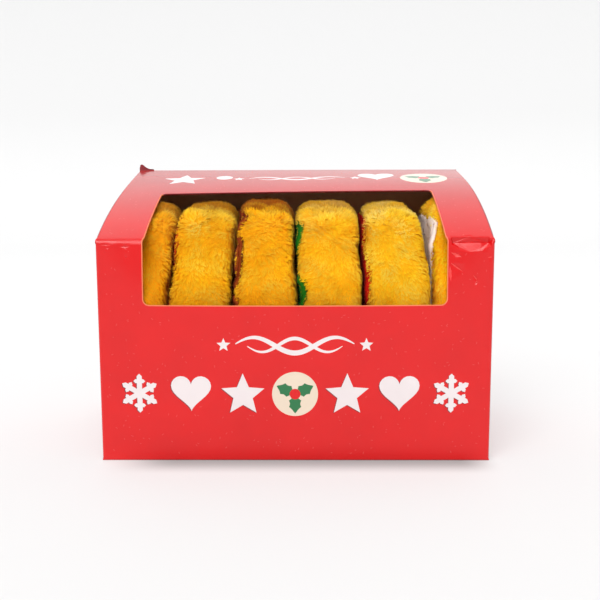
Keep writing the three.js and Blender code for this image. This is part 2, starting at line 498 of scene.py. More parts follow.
BARE = {"roughness": 0.85, "varnish": 0.0, "grain": 0.03}
SHEET_FINISHES = {
    Ink.RED: BoardFinish("coated_red_board", linear(209, 14, 16), 0.035),
    Ink.WHITE: BoardFinish("white_ink", linear(224, 214, 214), 0.02),
    # Dark red: the printed shadows of the white shapes, and painted shade on the window's back edge and on
    # the scrap's front.
    Ink.SHADOW: BoardFinish("dark_red_ink_and_painted_shade", linear(128, 34, 40), 0.04),
    Ink.CREAM: BoardFinish("cream_ink", linear(222, 205, 184), 0.02),
    Ink.GREEN: BoardFinish("green_ink", linear(38, 112, 66), 0.05),
    Ink.SPECK: BoardFinish("pink_ink", linear(212, 56, 56), 0.05),
    # The window's cut edge and a thin band round it: bare board, lightened to a pale orange as a painted
    # highlight.
    Ink.WINDOW_EDGE: BoardFinish("window_edge_painted_highlight", linear(232, 128, 88), 0.06, **BARE),
    Ink.CUT_EDGE: BoardFinish("cut_board_edge", linear(160, 82, 86), 0.06, **BARE),
    # Inside of the board: bare board, made a light warm peach as painted light, the glow that the gold plush
    # throws into the carton.
    Ink.INSIDE: BoardFinish("bare_board_inside_with_painted_glow", linear(255, 200, 156), 0.07, **BARE),
    # The roof's red is a touch darker and darkens towards the back: painted shade against the sheen it
    # catches.
    Ink.ROOF: BoardFinish("coated_red_roof", linear(205, 14, 16), 0.035, varnish=0.87, painted_shade_share=0.54),
    # Lighter red along the nicks: rubbed ink, and a painted highlight of the light the nicks catch.
    Ink.SCUFF: BoardFinish("scuffed_and_highlit_red_board", linear(228, 70, 66), 0.08, roughness=0.6, varnish=0.6),
}


# ---- flat shapes for the print ----
def arc(centre: Pair, radius: float, start: float, end: float, count: int) -> Array:
    """Points on an arc, from a start to an end angle in degrees."""
    angles = np.radians(np.linspace(start, end, count))
    return np.array(centre) + radius * np.stack([np.cos(angles), np.sin(angles)], 1)


def disc(radius: float, count: int) -> Array:
    """A round outline about the origin, with a count of points."""
    return arc((0, 0), radius, 0, 360 * (1 - 1 / count), count)


def star(radius: float, points: int, depth: float) -> Array:
    """A star with its first point up; depth is the share of the radius left between points."""
    angles = np.pi / 2 + np.pi * np.arange(2 * points) / points
    return radius * np.tile([1, depth], points)[:, None] * np.stack([np.cos(angles), np.sin(angles)], 1)


def heart(size: float) -> Array:
    """A heart about the origin.

    Args:
        size: its width.

    Returns:
        Its outline.
    """
    # This curve is 32 wide and hangs 2.5 too low.
    t = full_turn(40)
    across = 16 * np.sin(t) ** 3
    up = 13 * np.cos(t) - 5 * np.cos(2 * t) - 2 * np.cos(3 * t) - np.cos(4 * t)
    return np.stack([across, up + 2.5], 1) * size / 32


def leaf(length: float, width: float, turn: float) -> Array:
    """A wavy leaf that starts at the origin.

    Args:
        length: from end to end.
        width: at its middle.
        turn: the way that it points, in degrees.

    Returns:
        Its outline.
    """
    t = np.linspace(0, 1, 13)
    half = width / 2 * np.sin(np.pi * t) * (1 - 0.28 * np.abs(np.sin(3 * np.pi * t)))
    upper = np.stack([t * length, half], 1)
    outline = np.concatenate([upper, (upper * [1, -1])[-2:0:-1]])
    return outline @ turned(turn).T


def bar(length: float, width: float) -> Array:
    """A flat bar about the origin, pointing up, with blunt ends."""
    x, y = width / 2, length / 2
    return np.array([(-x, -y + x), (0, -y), (x, -y + x), (x, y - x), (0, y), (-x, y - x)])


def wave(length: float, height: float, width: float, turns: float) -> Array:
    """A wavy ribbon that thins to its ends.

    Args:
        length: from end to end.
        height: of the waves.
        width: of the ribbon at its middle.
        turns: how many waves it has.

    Returns:
        Its outline.
    """
    t = np.linspace(0, 1, 60)
    spine = np.stack([(t - 0.5) * length, height / 2 * np.sin(2 * np.pi * turns * t)], 1)
    way = unit(np.gradient(spine, axis=0))
    side = np.stack([-way[:, 1], way[:, 0]], 1) * (width / 2 * np.sin(np.pi * t) ** 0.6)[:, None]
    return np.concatenate([(spine + side)[1:-1], (spine - side)[-2:0:-1]])


def turned(degrees: float) -> Array:
    """The matrix that turns flat points."""
    c, s = math.cos(math.radians(degrees)), math.sin(math.radians(degrees))
    return np.array([(c, -s), (s, c)])


def inside(points: Array, outline: Array) -> Array:
    """Tells which flat points lie inside a closed outline.

    Args:
        points: the points.
        outline: the outline's corners.

    Returns:
        True for each point inside.
    """
    low, high = outline.min(0), outline.max(0)
    near = np.flatnonzero(((points >= low) & (points <= high)).all(1))
    x, y = points[near].T
    odd = np.zeros(len(near), bool)
    for (ax, ay), (bx, by) in zip(outline, np.roll(outline, -1, axis=0)):
        if ay != by:
            odd ^= ((ay > y) != (by > y)) & (x < (bx - ax) * (y - ay) / (by - ay) + ax)
    found = np.zeros(len(points), bool)
    found[near] = odd
    return found


def dense(outline: Array, step: float) -> Array:
    """Adds points to a closed outline.

    Args:
        outline: its corners.
        step: the widest spacing that is left.

    Returns:
        The outline with the points.
    """
    made = []
    for start, end in zip(outline, np.roll(outline, -1, axis=0)):
        count = max(math.ceil(float(np.linalg.norm(end - start)) / step), 1)
        made.append(start + (end - start) * (np.arange(count) / count)[:, None])
    return np.concatenate(made)


@dataclass
class Patch:
    """One printed field of colour on the flat sheet."""

    outline: Array
    ink: Ink


# ---- the carton ----
@dataclass(frozen=True)
class CartonForm:
    """The carton's shape once folded, in millimetres. The front looks to -Y.

    Attributes:
        width, depth: over the folds.
        crease_height: top of the front panel.
        back_height: top of the back panel.
        leave_slope, arrive_slope: of the roof at the crease and at the back, in degrees.
        board: thickness of the sheet.
        front_bow, back_bow, end_bow: how far the panels are pushed out by the toys.
        roof_tilt: how much higher the roof stands at its right end than at its left, halved.
        roof_swell: how far it swells at the middle.
        fold_radius: of the folds across the front.
        crease_radius: of the fold between the front and the roof.
        corner_radius: of the two upright folds.
        roof_setback: how far the roof's ends lie in from the front's.
        sill: height of the window's lower edge.
    """

    width: float = 200.0
    depth: float = 120.3
    crease_height: float = 114.0
    back_height: float = 150.6
    leave_slope: float = 27.4
    arrive_slope: float = 10.2
    board: float = 0.7
    front_bow: float = 4.5
    back_bow: float = 2.0
    end_bow: float = 0.6
    roof_tilt: float = 1.1
    roof_swell: float = 0.5
    fold_radius: float = 1.0
    crease_radius: float = 3.4
    corner_radius: float = 1.5
    roof_setback: float = 0.8
    sill: float = 81.6

    @property
    def front(self) -> float:
        """Y of the front folds."""
        return (self.front_bow - self.back_bow - self.depth) / 2

    @property
    def back(self) -> float:
        """Y of the back folds."""
        return self.front + self.depth

    def roof_height(self, behind: Array, across: Array) -> Array:
        """Height of the roof.

        Args:
            behind: distance behind the front folds.
            across: place across the width, from -1 to 1.

        Returns:
            The heights.
        """
        t = np.clip(behind / self.depth, 0, 1)
        leave = self.depth * math.tan(math.radians(self.leave_slope))
        arrive = self.depth * math.tan(math.radians(self.arrive_slope))
        curve = (
            self.crease_height * (2 * t**3 - 3 * t**2 + 1)
            + leave * (t**3 - 2 * t**2 + t)
            + self.back_height * (3 * t**2 - 2 * t**3)
            + arrive * (t**3 - t**2)
        )
        return curve + self.roof_lift(t, across)

    def roof_lift(self, share: Array, across: Array) -> Array:
        """How far the roof strays from its plain curve, by the share of the way to the back."""
        stray = self.roof_tilt * across + self.roof_swell * (1 - across**2)
        return stray * np.sin(np.pi * share)

    def front_out(self, across: Array, height: Array) -> Array:
        """How far the front panel stands out: most at the middle of the sill.

        Args:
            across: place across the width, from -1 to 1.
            height: height up the panel.

        Returns:
            The distances.
        """
        below = np.sin(np.pi / 2 * height / self.sill)
        above = np.cos(np.pi / 2 * (height - self.sill) / (self.crease_height - self.sill))
        climb = np.where(height < self.sill, below, np.maximum(above, 0))
        return self.front_bow * np.maximum(1 - across**2, 0) * climb

    def back_out(self, across: Array, height: Array) -> Array:
        """How far the back panel stands out."""
        return self.back_bow * np.maximum(1 - across**2, 0) * np.sin(np.pi * height / self.back_height)

    def end_out(self, behind: Array, height: Array) -> Array:
        """How far the end panels stand out."""
        along = np.sin(np.pi * np.clip(behind / self.depth, 0, 1))
        return self.end_bow * along * np.sin(np.pi * np.clip(height / self.back_height, 0, 1))


def rounded(path: Array, corners: dict[int, float], steps: int = 8) -> Array:
    """Rounds the named corners of a path.

    Args:
        path: the points of the path.
        corners: radius by the number of the corner's point.
        steps: points on each arc.

    Returns:
        The path with arcs in place of those corners.
    """
    made = []
    for i, point in enumerate(path):
        if i not in corners:
            made.append(point[None])
            continue
        before, after = unit(path[i - 1] - point), unit(path[i + 1] - point)
        half = math.acos(float(np.clip(before @ after, -1, 1))) / 2
        reach = corners[i] / math.tan(half)
        centre = point + unit(before + after) * corners[i] / math.sin(half)
        start, end = point + before * reach - centre, point + after * reach - centre
        sweep = math.pi - 2 * half
        shares = np.linspace(0, 1, steps + 1)[:, None]
        turn = (np.sin((1 - shares) * sweep) * start + np.sin(shares * sweep) * end) / math.sin(sweep)
        made.append(centre + turn)
    return np.concatenate(made)


@dataclass(frozen=True)
class Crumple:
    """A dent with sharp facets: flat triangles on the sheet between points that are pushed in.

    Attributes:
        points: x, s and depth of the points; those on the rim have no depth.
        facets: numbers of each triangle's points.
    """

    points: tuple[tuple[float, float, float], ...]
    facets: tuple[tuple[int, int, int], ...]

    @classmethod
    def nick(cls, start: Pair, end: Pair, width: float, depth: float) -> Crumple:
        """A short narrow dent with its deepest point in the middle.

        Args:
            start: x and s of its first end.
            end: x and s of its second end.
            width: at its middle.
            depth: at its middle.

        Returns:
            The dent.
        """
        a, b = np.array(start), np.array(end)
        side = unit(np.array([a[1] - b[1], b[0] - a[0]])) * width / 2
        middle = (a + b) / 2
        rim = [(*spot, 0.0) for spot in (a, middle - side, b, middle + side)]
        return cls(((*middle, depth), *rim), ((0, 1, 2), (0, 2, 3), (0, 3, 4), (0, 4, 1)))

    def depth_at(self, flat: Array) -> Array:
        """How far the dent pushes the sheet in.

        Args:
            flat: points of the flat sheet.

        Returns:
            The depth at each of them.
        """
        depth = np.zeros(len(flat))
        corners = np.array(self.points)
        for facet in self.facets:
            (a, b, c), deep = corners[list(facet), :2], corners[list(facet), 2]
            shares = (flat - a) @ np.linalg.inv(np.stack([b - a, c - a], 1)).T
            shares = np.column_stack([1 - shares.sum(1), shares])
            within = (shares >= -1e-9).all(1)
            depth[within] = (shares @ deep)[within]
        return depth

    def lines(self) -> list[Array]:
        """The outlines of the facets."""
        corners = np.array(self.points)[:, :2]
        return [corners[list(facet)] for facet in self.facets]


@dataclass
class Sheet:
    """The carton's board: laid out flat, then folded.

    On the flat sheet x runs across the carton and s runs along the wrap: from the back edge of the
    bottom panel to the front fold, up the front, over the roof and down the back. The end panels
    hang on the upright folds of the front.

    Attributes:
        form: the folded shape.
        window_half: half the window's width.
        window_reach: how far back over the roof it runs.
        window_corner: radius of its corners.
        edge_width: width of the rim round the window, which is pressed in and painted light as a highlight.
        gap: between the edges of panels that meet.
        mesh_step: spacing of the points on the flat sheet.
        bead: height of the ridge that the score leaves along the crease.
        bead_place: how far below the crease its middle lies.
        bead_width: of the ridge.
        bead_worn: height that is left of it where it is rubbed down, as a share.
        worn_middle, worn_half: x of that stretch's middle, and half its length where it starts to
            end, and ends.
        cut_step: spacing of the points along cuts.
        corner_cut: how far below the crease the upright folds are cut off.
        fold_start: how far above the floor they start, and stand in full.
        fold_end: how far below the crease they start to run out, and have run out.
        rim_press: how far the window's rim is pressed in.
        crumples: the dents.
        patches: the printed fields, from the lowest to the uppermost.
    """

    form: CartonForm
    window_half: float = 76.3
    window_reach: float = 59.1
    window_corner: float = 3.0
    edge_width: float = 0.42
    gap: float = 0.18
    mesh_step: float = 3.6
    bead: float = 0.07
    bead_place: float = 0.8
    bead_width: float = 0.5
    bead_worn: float = 0.45
    worn_middle: float = -4.0
    worn_half: Pair = (50.0, 80.0)
    cut_step: float = 1.0
    corner_cut: float = 0.9
    fold_start: Pair = (0.1, 1.5)
    fold_end: Pair = (2.4, 0.8)
    rim_press: float = 0.1
    crumples: list[Crumple] = field(default_factory=list)
    patches: list[Patch] = field(default_factory=list)

    def __post_init__(self) -> None:
        """Works out the wrap's profile and where its panels lie on the sheet."""
        form = self.form
        behind = np.linspace(0, form.depth, 121)
        roof = np.stack([form.front + behind, form.roof_height(behind, 0 * behind)], 1)
        roof[:, 1] -= form.roof_lift(behind / form.depth, 0 * behind)
        start = np.array([(form.back - form.board - self.gap, 0.0), (form.front, 0.0)])
        path = np.concatenate([start, roof, [(form.back, 0.1)]])
        last = len(path) - 2
        corners = {1: form.fold_radius, 2: form.crease_radius, last: form.fold_radius}
        # The roof's first and last points lie inside the arcs of its folds and are left out.
        keep = np.ones(len(path), bool)
        keep[3:6] = keep[last - 3 : last] = False
        numbers = np.cumsum(keep) - 1
        path = rounded(path[keep], {int(numbers[i]): r for i, r in corners.items()})
        steps = np.linalg.norm(np.diff(path, axis=0), axis=1)
        self.along = np.concatenate([[0], np.cumsum(steps)])
        self.profile = path
        self.front_low = self.s_up_front(form.fold_radius)
        self.front_start = self.front_low - form.fold_radius
        self.crease = self.front_start + form.crease_height
        self.end = float(self.along[-1])
        self.plan = rounded(
            np.array([(0.0, form.front), (form.width / 2, form.front), (form.width / 2, form.back)]),
            {1: form.corner_radius},
        )
        reach = np.linalg.norm(np.diff(self.plan, axis=0), axis=1)
        self.plan_along = np.concatenate([[0], np.cumsum(reach)])

    def s_up_front(self, height: float) -> float:
        """Where the front panel has a height, on the sheet."""
        rows = np.flatnonzero(self.profile[:, 0] < self.form.front + 1e-6)
        return float(np.interp(height, self.profile[rows, 1], self.along[rows]))

    def s_of_roof(self, behind: float) -> float:
        """Finds a line of the roof on the sheet.

        Args:
            behind: its distance behind the front folds.

        Returns:
            Its s.
        """
        above = np.flatnonzero(self.profile[:, 1] > self.form.crease_height)
        above = above[: np.argmax(self.profile[above, 0]) + 1]
        return float(np.interp(self.form.front + behind, self.profile[above, 0], self.along[above]))

    def place(self, flat: Array) -> Array:
        """Folds points of the flat sheet.

        Args:
            flat: their x and s.

        Returns:
            Where the outer face of the board is in space.
        """
        form = self.form
        x, s = flat.T
        across = np.clip(x / (form.width / 2), -1, 1)
        y = np.interp(s, self.along, self.profile[:, 0])
        z = np.interp(s, self.along, self.profile[:, 1])
        height = s - self.front_start
        behind = y - form.front
        on_front = (s > self.front_low - form.fold_radius) & (s < self.crease)
        on_roof = (s >= self.crease) & (z > form.crease_height - 1)
        on_back = s > self.s_of_roof(form.depth - form.fold_radius)
        y = y - np.where(on_front, form.front_out(across, np.clip(height, 0, None)), 0)
        y = y + np.where(on_back, form.back_out(across, z), 0)
        z = z + np.where(on_roof, form.roof_lift(np.clip(behind / form.depth, 0, 1), across), 0)
        setback = form.roof_setback * smooth(0.5, 4.0, behind) * ~on_back
        x_wrap = x - across * np.where(on_roof, setback, 0)
        # The front and the end panels follow the plan round the upright folds.
        side, out = np.sign(x), np.abs(x)
        plan_x = np.interp(out, self.plan_along, self.plan[:, 0])
        plan_y = np.interp(out, self.plan_along, self.plan[:, 1])
        is_end = out > form.width / 2 + 1e-6
        # The upright folds run out into the folds across the front.
        begins, ends = (form.crease_height - below for below in self.fold_end)
        held = smooth(*self.fold_start, height) * (1 - smooth(begins, ends, height))
        near_fold = (out > form.width / 2 - form.corner_radius) & on_front
        weight = np.where(is_end, 1.0, np.where(near_fold, held, 0.0))
        bulge = form.end_out(plan_y - form.front, height) * is_end
        x_made = (1 - weight) * x_wrap + weight * side * (plan_x + bulge)
        y_bent = plan_y - form.front_out(np.clip(plan_x / (form.width / 2), -1, 1), height) * ~is_end
        y_made = (1 - weight) * y + weight * y_bent
        z_made = np.where(is_end, height, z)
        return np.stack([x_made, y_made, z_made], 1)

    def normals(self, flat: Array, fold: Callable[[Array], Array]) -> Array:
        """Outward normals of the sheet.

        Args:
            flat: points of the flat sheet.
            fold: places such points in space.

        Returns:
            The normals.
        """
        step, half = 0.02, self.form.width / 2
        x, s = flat.T
        # Only the front goes on round the upright folds: the other panels end there.
        ends = (np.abs(x) < half + 1e-6) & ((s < self.front_low) | (s > self.crease - self.corner_cut))
        reach = np.where(ends, half, np.inf)
        ahead = np.stack([np.clip(x + step, -reach, reach), s], 1)
        behind = np.stack([np.clip(x - step, -reach, reach), s], 1)
        along = fold(flat + [0, step]) - fold(flat - [0, step])
        return unit(np.cross(fold(ahead) - fold(behind), along))

    def dented(self, flat: Array) -> Array:
        """Folds points with the dents, the window's rim and the score's ridge pressed in.

        Args:
            flat: points of the flat sheet.

        Returns:
            Where the outer face of the board is in space.
        """
        here = self.place(flat)
        rim = self.rim_distance(flat)
        depth = self.dent_depth(flat) + self.rim_press * (1 - smooth(0.0, self.edge_width, rim))
        ridge_at = (flat[:, 1] - self.crease + self.bead_place) / self.bead_width
        ridge = self.bead * np.exp(-(ridge_at**2))
        from_middle = np.abs(flat[:, 0] - self.worn_middle)
        left = lerp(self.bead_worn, 1.0, smooth(*self.worn_half, from_middle))
        depth = depth - ridge * left * (np.abs(flat[:, 0]) < self.form.width / 2)
        pressed = depth != 0
        if pressed.any():
            here[pressed] -= self.normals(flat[pressed], self.place) * depth[pressed, None]
        return here

    def dent_depth(self, flat: Array) -> Array:
        """How far the dents press points of the flat sheet in; where two meet, the deeper counts."""
        return np.max([crumple.depth_at(flat) for crumple in self.crumples], axis=0, initial=0.0)

    def rim_distance(self, flat: Array) -> Array:
        """Distance of points from the window's edge, on the sheet.

        Args:
            flat: the points.

        Returns:
            The distances, which are negative inside the window.
        """
        low, high = self.window_span()
        middle = (low + high) / 2
        beyond = np.abs(flat - [0, middle]) - [self.window_half, (high - low) / 2] + self.window_corner
        outer = np.linalg.norm(np.maximum(beyond, 0), axis=1)
        return outer + np.minimum(beyond.max(1), 0) - self.window_corner

    def window_span(self) -> Pair:
        """Where the window starts and ends along the sheet."""
        return self.front_start + self.form.sill, self.s_of_roof(self.window_reach)

    def window_outline(self, margin: float) -> Array:
        """The window's outline on the sheet.

        Args:
            margin: how far it is grown.

        Returns:
            Its corners.
        """
        low, high = self.window_span()
        r = self.window_corner + margin
        x = self.window_half + margin - r
        low, high = low - margin + r, high + margin - r
        turns = [((x, low), -90), ((x, high), 0), ((-x, high), 90), ((-x, low), 180)]
        return np.concatenate([arc(centre, r, start, start + 90, 9) for centre, start in turns])

    def outline(self) -> Array:
        """Draws the sheet's outer edge: the wrap with an end panel on each upright fold.

        Returns:
            Its corners.
        """
        form = self.form
        half = form.width / 2
        low = self.front_start + form.board + self.gap
        corner = self.crease - self.corner_cut
        behind = np.linspace(0, form.depth - form.board - self.gap, 40)[2:]
        # np.interp needs a rising Y, which the plan has once it has turned the corner.
        turned_from = int(np.argmax(self.plan[:, 0] >= half - 1e-9))
        reach = np.interp(form.front + behind, self.plan[turned_from:, 1], self.plan_along[turned_from:])
        tops = self.front_start + self.end_top(behind, 1.0)
        right = [(half, 0.0), (half, low), (half + 1.0, low), (reach[-1], low)]
        right += [*zip(reach[::-1], tops[::-1]), (half, corner), (half, self.end)]
        tops = self.front_start + self.end_top(behind, -1.0)
        left = [(-half, self.end), (-half, corner), *zip(-reach, tops)]
        left += [(-reach[-1], low), (-half - 1.0, low), (-half, low), (-half, 0.0)]
        return np.array(right + left)

    def end_top(self, behind: Array, across: float) -> Array:
        """Height of an end panel's upper edge, just under the roof's board.

        Args:
            behind: distance behind the front folds.
            across: -1 for the left panel, 1 for the right one.

        Returns:
            The heights.
        """
        form = self.form
        rise = form.roof_height(behind + 0.5, across) - form.roof_height(behind - 0.5, across)
        under = (form.board + self.gap) * np.hypot(1, rise)
        return form.roof_height(behind, across) - under

    def grid(self) -> Array:
        """Spaces points evenly over the sheet, with close rows at the folds.

        Returns:
            The points.
        """
        form = self.form
        rows = [np.linspace(0, self.end, int(self.end / self.mesh_step))]
        for place, radius in (
            (self.front_start, form.fold_radius),
            (self.crease, form.crease_radius),
            (self.s_of_roof(form.depth - form.fold_radius), form.fold_radius),
        ):
            rows.append(place + np.linspace(-2.2 * radius, 2.2 * radius, 12))
        begins, ends = self.fold_end
        rows.append(self.crease + np.linspace(-begins, ends, 13))
        s = np.unique(np.round(np.concatenate(rows), 2))
        half = form.width / 2
        fold = half + np.linspace(-1.6, 1.6, 9) * form.corner_radius * 0.9
        far = np.arange(half + 3, half + form.depth, self.mesh_step)
        middle = np.linspace(0, half - 3, int(half / self.mesh_step))
        x = np.concatenate([middle, fold, far])
        x = np.unique(np.round(np.concatenate([-x, x]), 2))
        return np.stack(np.meshgrid(x, s), -1).reshape(-1, 2)

    def cut(self) -> tuple[Array, Array, Array]:
        """Cuts the flat sheet into triangles along its edges, its print and its dents.

        Returns:
            The flat points, the triangles' corners and the number of each triangle's ink.
        """
        borders = (self.outline(), self.window_outline(0.0), self.window_outline(self.edge_width))
        outer, window, highlight_band = (dense(border, self.cut_step) for border in borders)
        loops = [outer, window, highlight_band, *(p.outline for p in self.patches)]
        loops += [line for crumple in self.crumples for line in crumple.lines()]
        points = np.concatenate([self.grid(), *loops])
        edges, start = [], len(points) - sum(map(len, loops))
        for loop in loops:
            numbers = np.arange(start, start + len(loop))
            edges += list(zip(numbers.tolist(), np.roll(numbers, -1).tolist()))
            start += len(loop)
        made = delaunay_2d_cdt([Vector(p) for p in points], edges, [], 0, 1e-4, False)
        flat = np.array([tuple(v) for v in made[0]])
        triangles = np.array([f for f in made[2] if len(f) == 3])
        middle = flat[triangles].mean(1)
        kept = inside(middle, outer) & ~inside(middle, window)
        triangles, middle = triangles[kept], middle[kept]
        inks = np.full(len(triangles), Ink.RED.value)
        roof_end = self.s_of_roof(self.form.depth - self.form.fold_radius)
        over_roof = (middle[:, 1] > self.crease - 0.5) & (middle[:, 1] < roof_end)
        inks[over_roof & (np.abs(middle[:, 0]) < self.form.width / 2)] = Ink.ROOF.value
        for patch in self.patches:
            inks[inside(middle, patch.outline)] = patch.ink.value
        # Painted highlight: a thin band of the face round the window's edge gets the light edge finish,
        # except at its back.
        in_highlight_band = inside(middle, highlight_band) & (middle[:, 1] < self.window_span()[1] - 1.0)
        inks[in_highlight_band] = Ink.WINDOW_EDGE.value
        return flat, triangles, inks

    def rim(self, triangles: Array) -> Array:
        """Finds the sides that only one triangle has.

        Args:
            triangles: numbers of their corners.

        Returns:
            Numbers of the two ends of each such side.
        """
        sides = np.concatenate([triangles[:, [0, 1]], triangles[:, [1, 2]], triangles[:, [2, 0]]])
        count = int(triangles.max()) + 1
        return sides[~np.isin(sides @ [count, 1], sides @ [1, count])]

    def build(self) -> MeshData:
        """Folds the cut sheet and gives it its thickness.

        Returns:
            The mesh of the whole board.
        """
        flat, triangles, inks = self.cut()
        a, b, c = flat[triangles].transpose(1, 0, 2)
        area = (b - a)[:, 0] * (c - a)[:, 1] - (b - a)[:, 1] * (c - a)[:, 0]
        triangles[area < 0] = triangles[area < 0][:, ::-1]
        used, numbers = np.unique(triangles, return_inverse=True)
        triangles = numbers.reshape(-1, 3)
        outer, normals = self.dented(flat[used]), self.normals(flat[used], self.dented)
        inner = outer - self.normals(flat[used], self.place) * self.form.board
        count = len(used)
        # The cut edges get points of their own too.
        rim = self.rim(triangles)
        start, end = rim.T
        rim_points = np.concatenate([outer[start], outer[end], inner[end], inner[start]])
        way = unit(np.cross(inner[start] - outer[start], outer[end] - outer[start]))
        edge_normals = np.tile(way, (4, 1))
        quads = 2 * count + np.arange(4)[None, :] * len(rim) + np.arange(len(rim))[:, None]
        padded = np.full((len(triangles), 1), -1)
        # The facets of the dents get points of their own, which keeps their edges sharp.
        bent = np.flatnonzero(self.dent_depth(flat[used][triangles].mean(1)) > 0)
        a, b, c = outer[triangles[bent]].transpose(1, 0, 2)
        facets = np.repeat(unit(np.cross(b - a, c - a)), 3, axis=0)
        shown = triangles.copy()
        shown[bent] = 2 * count + 4 * len(rim) + np.arange(3 * len(bent)).reshape(-1, 3)
        return MeshData(
            np.concatenate([outer, inner, rim_points, outer[triangles[bent]].reshape(-1, 3)]),
            np.concatenate([
                np.hstack([shown, padded]),
                np.hstack([triangles[:, ::-1] + count, padded]),
                quads[:, ::-1],
            ]),
            np.concatenate([normals, -normals, edge_normals, facets]),
            None,
            np.concatenate([
                inks,
                np.full(len(triangles), Ink.INSIDE.value),
                self.edge_inks(flat[used][start]),
            ]),
        )

    def edge_inks(self, flat: Array) -> Array:
        """The finish of the cut edge: a painted highlight at the window, and painted shade in dark red at
        the window's back.

        Args:
            flat: points along the edge.

        Returns:
            The number of the ink at each of them.
        """
        # Painted shade in dark red at the window's back, a painted highlight along the rest of the window's
        # edge, plain cut board elsewhere.
        at_window = self.rim_distance(flat) < 0.5
        behind = flat[:, 1] > self.window_span()[1] - 1.0
        inks = [Ink.SHADOW.value, Ink.WINDOW_EDGE.value]
        return np.select([at_window & behind, at_window], inks, Ink.CUT_EDGE.value)


